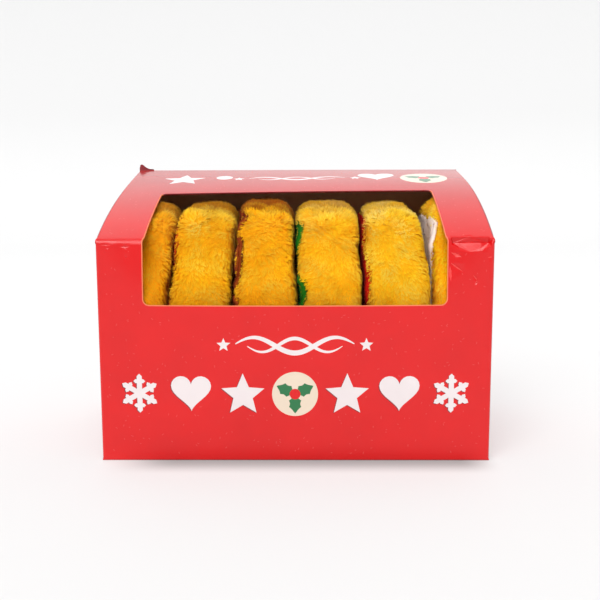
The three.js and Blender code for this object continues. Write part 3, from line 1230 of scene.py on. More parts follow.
@dataclass
class Print:
    """The carton's print: generic white shapes, a leafy badge, ribbons and scattered specks.

    Attributes:
        sheet: the flat sheet it goes on.
        row_height: middle of the row of shapes, up the front.
        row_step: spacing of the shapes.
        shape_size: height of a shape.
        ribbon_height: middle of the ribbon above them.
        shadow: how far the dark shadow stands out of a shape.
        specks_per_cm2: how many specks there are.
        speck_seed: seed of their draw.
    """

    sheet: Sheet
    row_height: float = 36.0
    row_step: float = 26.5
    shape_size: float = 20.5
    ribbon_height: float = 61.5
    shadow: float = 0.45
    specks_per_cm2: float = 1.8
    speck_seed: int = 11

    def stamp(self, shape: Array, ink: Ink, x: float, s: float) -> None:
        """Prints one shape."""
        self.sheet.patches.append(Patch(shape + [x, s], ink))

    def shaded(self, shape: Array, x: float, s: float) -> None:
        """Prints a white shape with a thin dark shadow at its lower left."""
        self.stamp(shape, Ink.SHADOW, x - self.shadow, s - self.shadow * 0.6)
        self.stamp(shape, Ink.WHITE, x, s)

    def badge(self, radius: float, x: float, s: float) -> None:
        """Prints a cream disc with three green leaves and a red berry.

        Args:
            radius: of the disc.
            x, s: its middle.
        """
        self.stamp(disc(radius, 48), Ink.CREAM, x, s)
        for turn in (25, 155, 270):
            self.stamp(leaf(radius * 0.88, radius * 0.62, turn), Ink.GREEN, x, s)
        self.stamp(disc(radius * 0.24, 20), Ink.RED, x, s)

    def snowflake(self, size: float, x: float, s: float) -> None:
        """Prints a six-armed snowflake with a bar across each arm.

        Args:
            size: from tip to tip.
            x, s: its middle.
        """
        arms = [bar(size, size * 0.13) @ turned(turn).T for turn in (0, 60, 120)]
        for ink, shift in ((Ink.SHADOW, -self.shadow), (Ink.WHITE, 0.0)):
            for arm in arms:
                self.stamp(arm, ink, x + shift, s + shift * 0.6)
            for turn in range(0, 360, 60):
                spot = turned(turn) @ [0, size * 0.31]
                tip = bar(size * 0.3, size * 0.1) @ turned(turn + 90).T
                self.stamp(tip, ink, x + spot[0] + shift, s + spot[1] + shift * 0.6)

    def ribbon(self, length: float, x: float, s: float) -> None:
        """Prints two crossing waves with a small star at each end.

        Args:
            length: of the longer wave.
            x, s: their middle.
        """
        self.stamp(wave(length, 8.0, 2.6, 1.5), Ink.WHITE, x, s)
        self.stamp(wave(length * 0.8, -7.0, 1.8, 1.5), Ink.WHITE, x, s)
        for side in (-1, 1):
            self.stamp(star(3.6, 5, 0.45), Ink.WHITE, x + side * (length / 2 + 5), s)

    def row(self) -> None:
        """Prints the row of shapes on the front."""
        s = self.sheet.front_start + self.row_height
        size = self.shape_size
        self.badge(size * 0.57, 0.0, s)
        for side in (-1, 1):
            self.shaded(star(size * 0.56, 5, 0.45), side * self.row_step, s - 0.6)
            self.shaded(heart(size), side * 2 * self.row_step, s)
            self.snowflake(size, side * 3 * self.row_step, s)

    def roof(self) -> None:
        """Prints the roof behind the window."""
        middle = self.sheet.s_of_roof(90.0)
        self.ribbon(60.0, 0.0, middle)
        self.badge(14.0, 76.0, middle - 2.0)
        self.shaded(heart(22.0), 48.0, middle + 3.0)
        self.shaded(star(13.0, 5, 0.45), -68.0, middle)
        self.stamp(disc(5.0, 24), Ink.WHITE, -44.0, middle + 4.0)

    def specks(self) -> None:
        """Scatters small dashes clear of the shapes and the edges."""
        sheet, rng = self.sheet, np.random.default_rng(self.speck_seed)
        half = sheet.form.width / 2
        reach = half + sheet.form.depth
        area = 2 * reach * sheet.end / 100
        spots = rng.uniform((-reach, 0), (reach, sheet.end), (int(area * self.specks_per_cm2), 2))
        ring = np.concatenate([disc(1.9, 8), [(0.0, 0.0)]])
        rows = (spots[:, None] + ring[None]).reshape(-1, 2)
        clear = inside(rows, sheet.outline()) & ~inside(rows, sheet.window_outline(1.5))
        for patch in sheet.patches:
            clear &= ~inside(rows, patch.outline)
        for fold in (sheet.front_start, sheet.crease, sheet.s_of_roof(sheet.form.depth)):
            clear &= np.abs(rows[:, 1] - fold) > 2
        clear &= np.abs(np.abs(rows[:, 0]) - half) > 1.2
        for x, s in spots[clear.reshape(len(spots), -1).all(1)]:
            dash = bar(rng.uniform(0.8, 1.5), rng.uniform(0.36, 0.5)) @ turned(rng.uniform(0, 180)).T
            self.stamp(dash, Ink.SPECK, x, s)

    def scuffs_and_highlights(self) -> None:
        """Lightens the ink along the nicks beside the window: rubbed ink, and a painted highlight of the
        light the nicks catch.
        """
        # x and height over the crease of the start, length, width and direction in degrees
        marks = (
            (77.9, -6.2, 6.0, 1.5, -24), (77.6, -11.2, 8.0, 0.9, -36), (77.5, -12.9, 7.8, 1.5, -86),
            (89.2, -17.6, 3.4, 0.6, -50), (91.7, -20.2, 2.6, 0.6, -128), (96.4, -8.9, 2.2, 0.5, 10),
        )
        for x, rise, length, width, turn in marks:
            self.stamp(leaf(length, width, turn), Ink.SCUFF, x, self.sheet.crease + rise)

    def draw(self) -> None:
        """Prints everything."""
        self.scuffs_and_highlights()
        self.row()
        self.ribbon(62.0, 0.0, self.sheet.front_start + self.ribbon_height)
        self.roof()
        self.specks()


@dataclass
class Carton:
    """The folded carton and the scrap of board that stands up at its back left corner.

    Attributes:
        form: the folded shape.
        tab_width, tab_rise: of the scrap.
        tab_board: its thickness.
    """

    form: CartonForm
    tab_width: float = 9.0
    tab_rise: float = 3.6
    tab_board: float = 0.5

    def crumples(self, sheet: Sheet) -> list[Crumple]:
        """Presses the dents into the front panel, close to the crease.

        Args:
            sheet: the flat sheet.

        Returns:
            The dent at the right corner and the short nicks.
        """
        top = sheet.crease
        # x, height over the crease and depth: a flat facet below the crease, then the narrow ones
        # that lead back to the panels.
        dent = (
            (79.4, 0.4, 2.6), (97.0, 0.4, 2.6), (79.4, -1.8, 1.65), (82.4, -3.7, 0.9),
            (87.6, -5.9, 0.0), (92.6, -4.3, 0.65), (97.0, -2.3, 1.45), (77.9, 0.4, 0.0),
            (78.2, -2.7, 0.0), (81.6, -5.0, 0.0), (93.4, -5.4, 0.0), (98.4, -3.1, 0.0),
            (98.8, 0.4, 0.0), (97.6, 2.2, 0.0), (88.0, 2.3, 0.0), (79.0, 2.2, 0.0),
        )
        facets = (
            (0, 2, 3), (0, 3, 4), (0, 4, 1), (1, 4, 5), (1, 5, 6), (7, 8, 2), (7, 2, 0),
            (8, 9, 3), (8, 3, 2), (9, 4, 3), (4, 10, 5), (10, 11, 6), (10, 6, 5), (11, 12, 1),
            (11, 1, 6), (12, 13, 1), (13, 14, 1), (14, 0, 1), (14, 15, 0), (15, 7, 0),
        )
        corner = Crumple(tuple((x, top + s, depth) for x, s, depth in dent), facets)
        # The nicks: x and height over the crease of both ends, width and depth.
        nicks = (
            ((77.8, -6.6), (83.2, -8.4), 2.4, 0.4),
            ((77.9, -11.4), (84.4, -16.2), 1.5, 0.4),
            ((77.2, -13.2), (78.0, -20.6), 2.4, 0.6),
            ((89.4, -17.8), (91.6, -20.4), 1.2, 0.35),
            ((91.8, -20.6), (90.2, -22.6), 1.1, 0.35),
            ((96.6, -8.8), (98.6, -8.4), 0.8, 0.2),
            ((-97.4, -2.3), (-91.2, -2.2), 0.8, 0.16),
            ((-87.4, -3.2), (-82.4, -3.1), 1.1, 0.26),
            ((-94.8, -3.8), (-92.6, -3.8), 0.8, 0.2),
            ((-84.8, -8.2), (-84.0, -8.6), 0.8, 0.2),
        )
        short = [
            Crumple.nick((x, top + s), (end_x, top + end_s), width, depth)
            for (x, s), (end_x, end_s), width, depth in nicks
        ]
        return [corner, *short]

    def tab(self) -> MeshData:
        """Makes the torn scrap at the back left corner.

        Returns:
            Its mesh.
        """
        form, top = self.form, self.form.back_height
        edge = [(0.0, top - 3.0), (self.tab_width, top - 3.0), (self.tab_width, top + 0.5)]
        # Shares of the width and of the rise along the torn edge, from right to left.
        torn = ((0.85, 0.12), (0.6, 0.28), (0.42, 0.5), (0.26, 0.84), (0.14, 1.0), (0.04, 0.86), (0.0, 0.3))
        edge += [(self.tab_width * share, top + self.tab_rise * rise) for share, rise in torn]
        shape = np.array(edge)
        lean = np.clip(shape[:, 1] - top, 0, None) * 0.35
        front = np.stack([shape[:, 0] - form.width / 2, form.back - 1.3 + lean, shape[:, 1]], 1)
        back = front + [0, self.tab_board, 0]
        count = len(front)
        points = np.concatenate([front, back, [front.mean(0), back.mean(0)]])
        here, after = np.arange(count), np.roll(np.arange(count), -1)
        none = np.full(count, -1)
        faces = np.concatenate([
            np.stack([here, after, np.full(count, 2 * count), none], 1),
            np.stack([after + count, here + count, np.full(count, 2 * count + 1), none], 1),
            np.stack([after, here, here + count, after + count], 1),
        ])
        forward, backward = (0, -1, 0.1), (0, 1, 0.1)
        normals = np.array([forward] * count + [backward] * count + [forward, backward])
        # The scrap's front is painted dark red as shade; its back is plain red.
        slots = np.repeat([Ink.SHADOW.value, Ink.RED.value, Ink.CUT_EDGE.value], count)
        return MeshData(points, faces, normals, None, slots)

    def build(self) -> None:
        """Makes the carton's pieces."""
        sheet = Sheet(self.form)
        sheet.crumples = self.crumples(sheet)
        Print(sheet).draw()
        finishes = [SHEET_FINISHES[ink].make() for ink in Ink]
        for name, data in (("folded_sheet", sheet.build()), ("corner_scrap", self.tab())):
            piece = data.to_object(name, finishes)
            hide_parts("carton")
            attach(piece, "root")


# ---- the toys ----
@dataclass(frozen=True)
class Parting:
    """The plane between two neighbours: its X at the floor and at the crown of the row."""

    floor: float
    crown: float

    def at(self, height: Array, row_height: float) -> Array:
        """X of the plane at a height."""
        return self.floor + (self.crown - self.floor) * height / row_height


class Plush(Enum):
    """The colours of plush: display colours of the roots, of the fibres and of their tips."""

    GOLD = ((254, 164, 7), (255, 194, 16), (255, 210, 46))
    GREEN = ((24, 86, 10), (36, 122, 22), (56, 150, 40))
    RED = ((168, 20, 6), (196, 24, 8), (214, 42, 20))
    CHOCOLATE = ((122, 46, 8), (158, 66, 16), (178, 82, 28))
    WHITE = ((236, 214, 204), (250, 238, 232), (255, 252, 250))

    def shades(self) -> list[Array]:
        """The three colours as linear ones."""
        return [np.array(linear(*shade)) for shade in self.value]


@dataclass(frozen=True)
class Lobes:
    """The lobed outer edge of an icing.

    Attributes:
        count: how many lobes there are all round.
        middle: way round the ring of one lobe's middle, in degrees.
        margin: from the rim to the edge between the lobes.
        reach: how far the lobes reach out of that.
        overhang: how far the lobes wrap over the rim, in degrees of the section.
        narrowness: low for broad lobes, high for narrow ones.
    """

    count: int = 11
    middle: float = 127.5
    margin: float = 9.5
    reach: float = 7.2
    overhang: float = 4.0
    narrowness: float = 0.8

    def at(self, angle: Array) -> Array:
        """1 at the middle of a lobe, 0 between two; the lobes are small over the crown."""
        lobe = np.abs(np.cos(self.count / 2 * (angle - math.radians(self.middle)))) ** self.narrowness
        return lobe * lerp(0.25, 1.0, swing(100, 118, angle))


@dataclass(frozen=True)
class ToyPlan:
    """What sets one toy apart from the others.

    Attributes:
        icing: colour of the icing.
        lobes: of the icing's outer edge.
        drop: how much lower than the tallest its ring stands.
        turn: where the ring's lumps start.
        left_square, right_square: exponents of the section's sides, at the crown and at the front;
            low ones are rounder.
        left_gap, right_gap: room kept at its sides, at the sill and at the crown.
        warmth: how far its gold is turned to orange, from -1 to 1.
        shade: brightness of its gold; the first toy's lower one is painted shade from the carton's left end.
        crown: what its gold is multiplied by over the crown: painted shade where the roof shades it, which
            on some crowns also adds a paler painted highlight.
        shoulder_highlight: how much paler its gold is below the crown: a painted highlight on the shoulder.
        blades: blades of pile on its ring.
        icing_pile: length of the pile on its icing.
    """

    icing: Plush
    lobes: Lobes
    drop: float
    turn: float
    left_square: Pair
    right_square: Pair
    left_gap: Pair
    right_gap: Pair
    warmth: float
    shade: float
    crown: Colour
    shoulder_highlight: float
    blades: int = 26000
    icing_pile: float = 2.4


TOY_PLANS = (
    ToyPlan(
        icing=Plush.GREEN,
        lobes=Lobes(reach=5.5, overhang=0.0),
        drop=1.5,
        turn=0.3,
        left_square=(3.6, 6.0),
        right_square=(3.4, 10.0),
        left_gap=(0.0, 0.0),
        right_gap=(-0.2, 0.2),
        warmth=1.0,
        shade=0.92,
        crown=(0.58, 0.45, 0.7),
        shoulder_highlight=1.5,
        blades=17000,
    ),
    ToyPlan(
        icing=Plush.RED,
        lobes=Lobes(count=9, middle=133.0, reach=7.0, overhang=3.0, narrowness=1.0),
        drop=1.0,
        turn=2.4,
        left_square=(6.0, 14.0),
        right_square=(3.2, 9.0),
        left_gap=(-0.2, -0.2),
        right_gap=(0.5, -0.2),
        warmth=0.0,
        shade=0.94,
        crown=(0.44, 0.3, 0.46),
        shoulder_highlight=1.3,
    ),
    ToyPlan(
        icing=Plush.CHOCOLATE,
        lobes=Lobes(middle=144.0, margin=4.0, reach=2.2, overhang=9.0, narrowness=0.4),
        drop=0.3,
        turn=0.6,
        left_square=(5.0, 10.0),
        right_square=(4.0, 10.0),
        left_gap=(-0.2, -0.2),
        right_gap=(-0.2, 0.5),
        warmth=0.3,
        shade=0.95,
        crown=(0.33, 0.14, 0.09),
        shoulder_highlight=0.0,
    ),
    ToyPlan(
        icing=Plush.GREEN,
        lobes=Lobes(reach=7.0, overhang=8.0, narrowness=1.2),
        drop=0.8,
        turn=1.4,
        left_square=(4.2, 8.0),
        right_square=(4.0, 10.0),
        left_gap=(0.0, 0.0),
        right_gap=(-0.2, 0.0),
        warmth=-0.3,
        shade=0.98,
        crown=(0.54, 0.46, 1.5),
        shoulder_highlight=1.2,
    ),
    ToyPlan(
        icing=Plush.RED,
        lobes=Lobes(count=9, middle=152.0, margin=5.0, reach=3.2, overhang=2.0, narrowness=0.9),
        drop=1.2,
        turn=1.8,
        left_square=(4.0, 9.0),
        right_square=(2.8, 10.0),
        left_gap=(-0.2, 0.0),
        right_gap=(-0.2, 1.2),
        warmth=-0.9,
        shade=0.96,
        crown=(0.68, 0.62, 1.7),
        shoulder_highlight=1.4,
    ),
    ToyPlan(
        icing=Plush.WHITE,
        lobes=Lobes(count=6, middle=126.5, reach=5.6, overhang=9.0, narrowness=3.2),
        drop=-2.6,
        turn=4.5,
        left_square=(3.0, 8.0),
        right_square=(3.0, 6.0),
        left_gap=(-0.2, 1.4),
        right_gap=(0.0, 0.0),
        warmth=-0.2,
        shade=1.1,
        crown=(0.9, 0.8, 1.0),
        shoulder_highlight=0.6,
        blades=15000,
        icing_pile=1.5,
    ),
)


@dataclass(frozen=True)
class RingForm:
    """The soft ring of one toy under its pile.

    Attributes:
        carton: the carton that it stands in.
        left, right: the planes to its neighbours.
        plan: what sets the toy apart.
        icing_room: kept free for the icing at its left face.
        half_depth, half_height: of the outline before the carton flattens it.
        hole_depth, hole_height: half sizes of the hole.
        inset, side_inset: how far the skin lies under the tips of the pile, at the rim and sides.
        crown_inset: how much further it lies under them at the crown.
        widening: heights between which its gaps go over from those at the sill to those at the crown.
        lump: height of its lumps.
        clearance: to the carton and the neighbours.
        window_side: distance from the middle where the window's free room starts to end, and ends.
        window_back: how far behind the front folds it ends.
        window_out, window_rise: how far it reaches out of the front and the roof.
    """

    carton: CartonForm
    left: Parting
    right: Parting
    plan: ToyPlan
    icing_room: float = 2.7
    half_depth: float = 62.6
    half_height: float = 66.7
    hole_depth: float = 11.0
    hole_height: float = 12.5
    inset: float = 1.1
    side_inset: float = 0.8
    crown_inset: float = 0.7
    widening: Pair = (84.0, 126.0)
    lump: float = 1.1
    clearance: float = 0.3
    window_side: Pair = (72.0, 76.0)
    window_back: float = 57.0
    window_out: float = 0.9
    window_rise: float = 4.0

    @property
    def centre(self) -> float:
        """Height of the hole's middle."""
        return self.half_height - self.plan.drop / 2

    def point(self, angle: Array, section: Array) -> Array:
        """Points of the skin.

        Args:
            angle: way round the ring; 0 is the back, a quarter turn the crown, a half the front.
            section: way round its section; 0 is the rim, and sine is positive on the right.

        Returns:
            Their places.
        """
        plan = self.plan
        squares = self.square(angle, plan.right_square), self.square(angle, plan.left_square)
        power = np.where(np.sin(section) >= 0, *squares)
        across, fullness = np.cos(section), np.sin(section)
        reach = (np.abs(across) ** power + np.abs(fullness) ** power) ** (-1 / power)
        across, fullness = across * reach, fullness * reach
        share = (1 + across) / 2
        inset = self.inset + self.crown_inset * self.upright(angle)
        depth = lerp(self.hole_depth + inset, self.half_depth - inset, share)
        height = lerp(self.hole_height + inset, self.centre - inset, share)
        z = self.centre + height * np.sin(angle)
        y = depth * np.cos(angle)
        row = 2 * self.half_height
        rise = smooth(*self.widening, z)
        # The room for the icing ends softly, just inside the icing's edge.
        edge = self.icing_edge(angle) - 0.02
        room = self.icing_room * (1 - smooth(edge - 0.05, edge + 0.05, share))
        beside = self.clearance + self.side_inset
        low = self.left.at(z, row) + beside + lerp(*plan.left_gap, rise) + room
        top = self.right.at(z, row) - beside - lerp(*plan.right_gap, rise)
        x = (low + top) / 2 + fullness * (top - low) / 2
        place = np.stack([x, y, z], -1)
        seed = int(plan.turn * 100)
        swell = Ripple(seed, 26.0)(place) * self.lump
        swell += Ripple(seed + 1, 9.0)(place) * self.lump * 0.3
        outward = np.stack([fullness, across * np.cos(angle), across * np.sin(angle)], -1)
        return self.held(place + unit(outward) * (swell - self.lump * 0.35)[..., None], self.inset)

    def square(self, angle: Array, squares: Pair) -> Array:
        """The exponent of one side at an angle."""
        return lerp(*squares, swing(100, 130, angle))

    def upright(self, angle: Array) -> Array:
        """How upright the pile stands: 1 at the crown, 0 at the front."""
        return 1 - swing(98, 132, angle)

    def icing_edge(self, angle: Array) -> Array:
        """How far out of the hole the icing's edge lies, as a share of the way to the rim."""
        from_rim = self.plan.lobes.margin - self.plan.lobes.reach * self.plan.lobes.at(angle)
        return 1 - from_rim / (self.half_height - self.hole_height)

    def held(self, place: Array, margin: float) -> Array:
        """Keeps points off the carton's walls and the neighbours.

        Args:
            place: the points.
            margin: how far they stay away.

        Returns:
            The points, moved where they had to be.
        """
        form, free = self.carton, self.clearance + margin
        x, y, z = np.moveaxis(place, -1, 0)
        across = np.clip(x / (form.width / 2), -1, 1)
        front = form.front - form.front_out(across, np.clip(z, 0, None)) + form.board + free
        # In the window the toys may stand a little proud of the walls.
        beside = smooth(*self.window_side, np.abs(x))
        window = smooth(form.sill - 1, form.sill + 2, z) * (1 - beside)
        back = form.back + form.back_out(across, np.clip(z, 0, form.back_height)) - form.board - free
        y = np.clip(y, front - self.window_out * window, back)
        roof = form.roof_height(np.clip(y - form.front, 0, None), across) - form.board * 1.3 - free
        rise = self.window_rise * (y - form.front < self.window_back) * (1 - beside)
        z = np.clip(z, form.board + free, roof + rise)
        row = 2 * self.half_height
        x = np.clip(x, self.left.at(z, row) + free * 0.6, self.right.at(z, row) - free * 0.6)
        return np.stack([x, y, z], -1)

    def skin(self, angle: Array, section: Array) -> tuple[Array, Array]:
        """Finds the skin and the way that it faces.

        Args:
            angle: way round the ring.
            section: way round its section.

        Returns:
            Its points and their outward normals.
        """
        step = 0.01
        round_way = self.point(angle + step, section) - self.point(angle - step, section)
        section_way = self.point(angle, section + step) - self.point(angle, section - step)
        return self.point(angle, section), unit(np.cross(round_way, section_way))


@dataclass(frozen=True)
class Pile:
    """Fibres that stand on a skin: tapered blades, drawn together in tufts.

    Attributes:
        length: of a blade.
        width: at its root.
        lean: how far it lies over, in degrees from upright, at root and tip.
        tuft: blades to a tuft.
        gather: how strongly a tuft's tips draw together, from 0 to 1.
        stray: how far single blades stray.
        wander: how far whole tufts stray.
        sunk: how deep the roots stand in the skin.
        stops: shares of the length where a blade has points.
        taper: shares of its width there; it ends in one point.
        fibre_stop: share of the length where its colour is that of the fibres.
    """

    length: float
    width: float = 0.42
    lean: Pair = (58.0, 80.0)
    tuft: int = 7
    gather: float = 0.14
    stray: float = 0.2
    wander: float = 0.3
    sunk: float = 0.3
    stops: tuple[float, ...] = (0.0, 0.38, 0.72, 1.0)
    taper: tuple[float, ...] = (1.0, 0.95, 0.65, 0.0)
    fibre_stop: float = 0.55

    def tufts(self, roots: Array, rng: np.random.Generator) -> tuple[Array, Array]:
        """Draws the blade that leads each tuft.

        Args:
            roots: where the blades stand.
            rng: source of the random draws.

        Returns:
            The leaders' numbers, and the number of each blade's tuft.
        """
        leaders = rng.choice(len(roots), max(len(roots) // self.tuft, 1), replace=False)
        tree = KDTree(len(leaders))
        for number, leader in enumerate(leaders):
            tree.insert(roots[leader], number)
        tree.balance()
        return leaders, np.array([tree.find(point)[1] for point in roots])

    def spines(self, roots: Array, normals: Array, way: Array, length: Array, upright: Array) -> list[Array]:
        """Bends the blades over.

        Args:
            roots: where they stand.
            normals: of the skin there.
            way: the way that each lies over.
            length: of each.
            upright: 1 where they stand up, 0 where they lie over.

        Returns:
            The points of all blades at each stop.
        """
        stops = np.array(self.stops)
        leans = np.radians(lerp(*self.lean, stops))[:, None] * (1 - 0.62 * upright)
        spine = [roots - normals * self.sunk]
        for k in range(1, len(stops)):
            lean = ((leans[k] + leans[k - 1]) / 2)[:, None]
            step = (stops[k] - stops[k - 1]) * length[:, None]
            spine.append(spine[-1] + step * (normals * np.cos(lean) + way * np.sin(lean)))
        return spine

    def colour_at(self, stop: float, shades: list[Array]) -> Array:
        """Mixes the colour of every blade at one stop.

        Args:
            stop: the share of the blade's length that lies below it.
            shades: the colours of root, fibre and tip.

        Returns:
            A colour for each blade.
        """
        root, fibre, tip = shades
        colour = lerp(root, fibre, min(stop / self.fibre_stop, 1.0))
        return lerp(colour, tip, max(stop - self.fibre_stop, 0) / (1 - self.fibre_stop))

    def faces(self, away: Array) -> Array:
        """Joins the points of each blade to two quads and a tip.

        Args:
            away: true for the blades that would face into the skin; they are turned round.

        Returns:
            The corners of the faces.
        """
        count, turned_round = len(away), away[:, None]
        corner = np.arange(count)[:, None] + np.arange(7) * count
        quads = [
            np.where(turned_round, corner[:, quad[::-1]], corner[:, quad])
            for quad in ([0, 1, 3, 2], [2, 3, 5, 4])
        ]
        tips = np.where(turned_round, corner[:, [5, 4, 6]], corner[:, [4, 5, 6]])
        return np.concatenate([*quads, np.hstack([tips, np.full((count, 1), -1)])])

    def grow(
        self,
        roots: Array,
        normals: Array,
        flow: Array,
        shades: list[Array],
        tone: Array,
        upright: Array,
        hold: Callable[[Array], Array],
        rng: np.random.Generator,
    ) -> MeshData:
        """Grows the blades.

        Args:
            roots: where they stand.
            normals: of the skin there.
            flow: the way that they lie.
            shades: colours of root, fibre and tip.
            tone: what each blade's colour is multiplied by.
            upright: 1 where the blades stand up, 0 where they lie over.
            hold: keeps points inside the carton.
            rng: source of the random draws.

        Returns:
            Their mesh.
        """
        count = len(roots)
        leaders, mine = self.tufts(roots, rng)
        wander = rng.normal(size=(len(leaders), 3)) * self.wander
        way = unit(flow + wander[mine] + rng.normal(size=(count, 3)) * self.stray)
        way = unit(way - normals * (way * normals).sum(1, keepdims=True))
        length = self.length * rng.uniform(0.8, 1.12, count) * rng.uniform(0.85, 1.1, len(leaders))[mine]
        # Upright blades are shorter and more uneven.
        length = length * (1 - (0.2 - 0.3 * rng.uniform(-1, 1, count)) * upright)
        upright = upright * rng.uniform(0.6, 1.1, count)
        spine = self.spines(roots, normals, way, length, upright)
        pull = (spine[-1][leaders[mine]] - spine[-1]) * self.gather
        spine = [hold(spot + pull * stop**1.6) for spot, stop in zip(spine, self.stops)]
        twist = rng.uniform(-0.3, 0.3, count)[:, None]
        side = unit(np.cross(spine[-1] - spine[0], normals))
        side = side * np.cos(twist) + normals * np.sin(twist)
        standing = np.clip(upright, 0, 1)[:, None]
        shine = (1 + rng.uniform(-1, 0.9, (count, 1)) * (0.04 + 0.22 * standing)) * tone
        points, colours, shading = [], [], []
        last = len(spine) - 1
        for k, spot in enumerate(spine):
            colour = self.colour_at(self.stops[k], shades) * shine
            along = unit(spine[min(k + 1, last)] - spine[max(k - 1, 0)])
            face = unit(np.cross(side, along))
            face = face * np.sign((face * normals).sum(1, keepdims=True))
            # The shading follows the skin more than the blade, which keeps the pile soft.
            soft = unit(normals + (0.2 + 0.45 * standing) * face)
            for edge in (-1, 1) if k < last else (0,):
                points.append(spot + side * (self.width * self.taper[k]) / 2 * edge)
                colours.append(colour)
                shading.append(unit(soft + side * edge * 0.15))
        away = (np.cross(spine[1] - spine[0], side) * normals).sum(1) > 0
        colours = np.clip(np.concatenate(colours), 0, 1)
        return MeshData(np.concatenate(points), self.faces(away), np.concatenate(shading), colours)


@dataclass
class Toy:
    """One plush doughnut: its ring, the pile on it, and its icing.

    Attributes:
        number: its place in the row, from 1.
        form: its ring.
        pile: length of the pile on the ring.
        icing_blades: blades on the icing.
        icing_thickness: of the padded layer.
        icing_inner: how far from the hole's rim the icing starts.
        ring_points, icing_points: points of their meshes round the ring and round the section.
        comb_out: how far the pile at the ring's sides is combed outwards.
        swirl: how far its swirls turn it.
        ragged: how far the line between the crown's painted shade and the shoulder's painted highlight
        wanders, in degrees.
        ring_fill, icing_fill: how firmly they are stuffed, from 0 to 1; not used.
    """

    number: int
    form: RingForm
    pile: float = 3.2
    icing_blades: int = 2400
    icing_thickness: float = 2.6
    icing_inner: float = 5.0
    ring_points: tuple[int, int] = (126, 40)
    icing_points: tuple[int, int] = (260, 14)
    comb_out: float = 0.9
    swirl: float = 0.8
    ragged: float = 5.0
    ring_fill: float = 0.85
    icing_fill: float = 0.5

    @property
    def plan(self) -> ToyPlan:
        """What sets it apart."""
        return self.form.plan

    def spots(self, count: int, rng: np.random.Generator) -> tuple[Array, Array]:
        """Draws places on the ring, most of them where the window shows it.

        Args:
            count: how many.
            rng: source of the random draws.

        Returns:
            Their ways round the ring and round its section.
        """
        angles, sections = full_turn(180), full_turn(72)
        a, s = np.meshgrid(angles, sections, indexing="ij")
        step_a, step_s = angles[1], sections[1]
        here = self.form.point(a, s)
        edges = self.form.point(a + step_a, s) - here, self.form.point(a, s + step_s) - here
        area = np.linalg.norm(np.cross(*edges), axis=-1)
        # From behind the crown down to the sill the rim shows; the rest gets a thin pile.
        shown = swing(62, 80, a) * (1 - swing(172, 186, a))
        rim = smooth(-0.25, 0.35, np.cos(s))
        crown = 1 + 0.6 * np.exp(-(((a - math.radians(98)) / 0.35) ** 2))
        weight = area * (0.03 + crown * shown * (0.1 + 0.9 * rim))
        cells = rng.choice(weight.size, count, p=(weight / weight.sum()).ravel())
        angle = a.ravel()[cells] + rng.uniform(0, step_a, count)
        section = s.ravel()[cells] + rng.uniform(0, step_s, count)
        return angle, section

    def ring(self, rng: np.random.Generator) -> MeshData:
        """Makes the skin with its pile.

        Args:
            rng: source of the random draws.

        Returns:
            Their mesh.
        """
        form = self.form
        around, section_points = self.ring_points
        a, s = np.meshgrid(full_turn(around), full_turn(section_points), indexing="ij")
        points, normals = form.skin(a.ravel(), s.ravel())
        shades = self.gold()
        base = np.tile(lerp(*shades[:2], 0.45), (len(points), 1))
        skin = MeshData(points, closed_grid(around, section_points), normals, base)
        angle, section = self.spots(self.plan.blades, rng)
        roots, normals = form.skin(angle, section)
        flow, tone = self.flow(angle, section, roots), self.tone(angle, roots)
        hold = partial(form.held, margin=0.0)
        pile = Pile(self.pile).grow(roots, normals, flow, shades, tone, form.upright(angle), hold, rng)
        return skin.joined(pile)

    def flow(self, angle: Array, section: Array, roots: Array) -> Array:
        """Combs the pile of the ring.

        Args:
            angle: way round the ring of each blade.
            section: its way round the section.
            roots: where the blades stand.

        Returns:
            The way that each lies.
        """
        # It parts above the window: behind the parting it lies back over the crown.
        share = 2 * swing(104, 140, angle) - 1
        downhill = np.stack([0 * angle, -np.sin(angle) * share, np.cos(angle) * share], 1)
        swirl = Ripple(self.number * 7, 22.0)(roots)
        sideways = np.sin(section) * self.comb_out + swirl * self.swirl
        return downhill + np.stack([sideways, 0 * angle, 0 * angle], 1)

    def tone(self, angle: Array, roots: Array) -> Array:
        """Varies the gold from place to place: random patches, with painted shade and painted highlights.

        Args:
            angle: way round the ring of each blade.
            roots: where the blades stand.

        Returns:
            What each blade's colour is multiplied by.
        """
        broad, fine = Ripple(self.number * 5, 16.0)(roots), Ripple(self.number * 3, 5.0)(roots)
        bright = 1 + 0.07 * broad + 0.03 * fine
        # Painted shade: it is darker deep down behind the sill, where the front panel shades it.
        bright = bright * lerp(0.7, 1.0, smooth(80, 98, roots[:, 2]))
        # Where the gold is darker, from the random patches and the painted shade alike, it is more
        # orange too, and some patches are paler.
        patch = Ripple(self.number * 17, 13.0)(roots)[:, None] * [-0.03, 0.06, 1.1]
        tone = bright[:, None] ** [0.6, 1.15, 1.3] * np.clip(1 + patch, 0.4, None)
        # Painted light: a ragged line parts the crown, darkened as painted shade where the roof shades it,
        # from a paler shoulder before it, lightened as a painted highlight.
        ragged = angle + math.radians(self.ragged) * Ripple(self.number * 13, 8.0)(roots)
        crown_shade = swing(119, 100, ragged)[:, None]
        shoulder = swing(134, 112, ragged)[:, None] * (1 - crown_shade)
        tone = tone * lerp(np.ones(3), np.array(self.plan.crown), crown_shade)
        return tone * (1 + self.plan.shoulder_highlight * shoulder * [0.0, 0.08, 1.2])

    def gold(self) -> list[Array]:
        """Turns the golden shades to this toy's warmth.

        Returns:
            The linear colours of its roots, fibres and tips.
        """
        warmth = self.plan.warmth
        blue = 1 - (0.3 if warmth > 0 else 1.0) * warmth
        turn = self.plan.shade * np.array([1.0, 1 - 0.14 * warmth, blue])
        return [shade * turn for shade in Plush.GOLD.shades()]

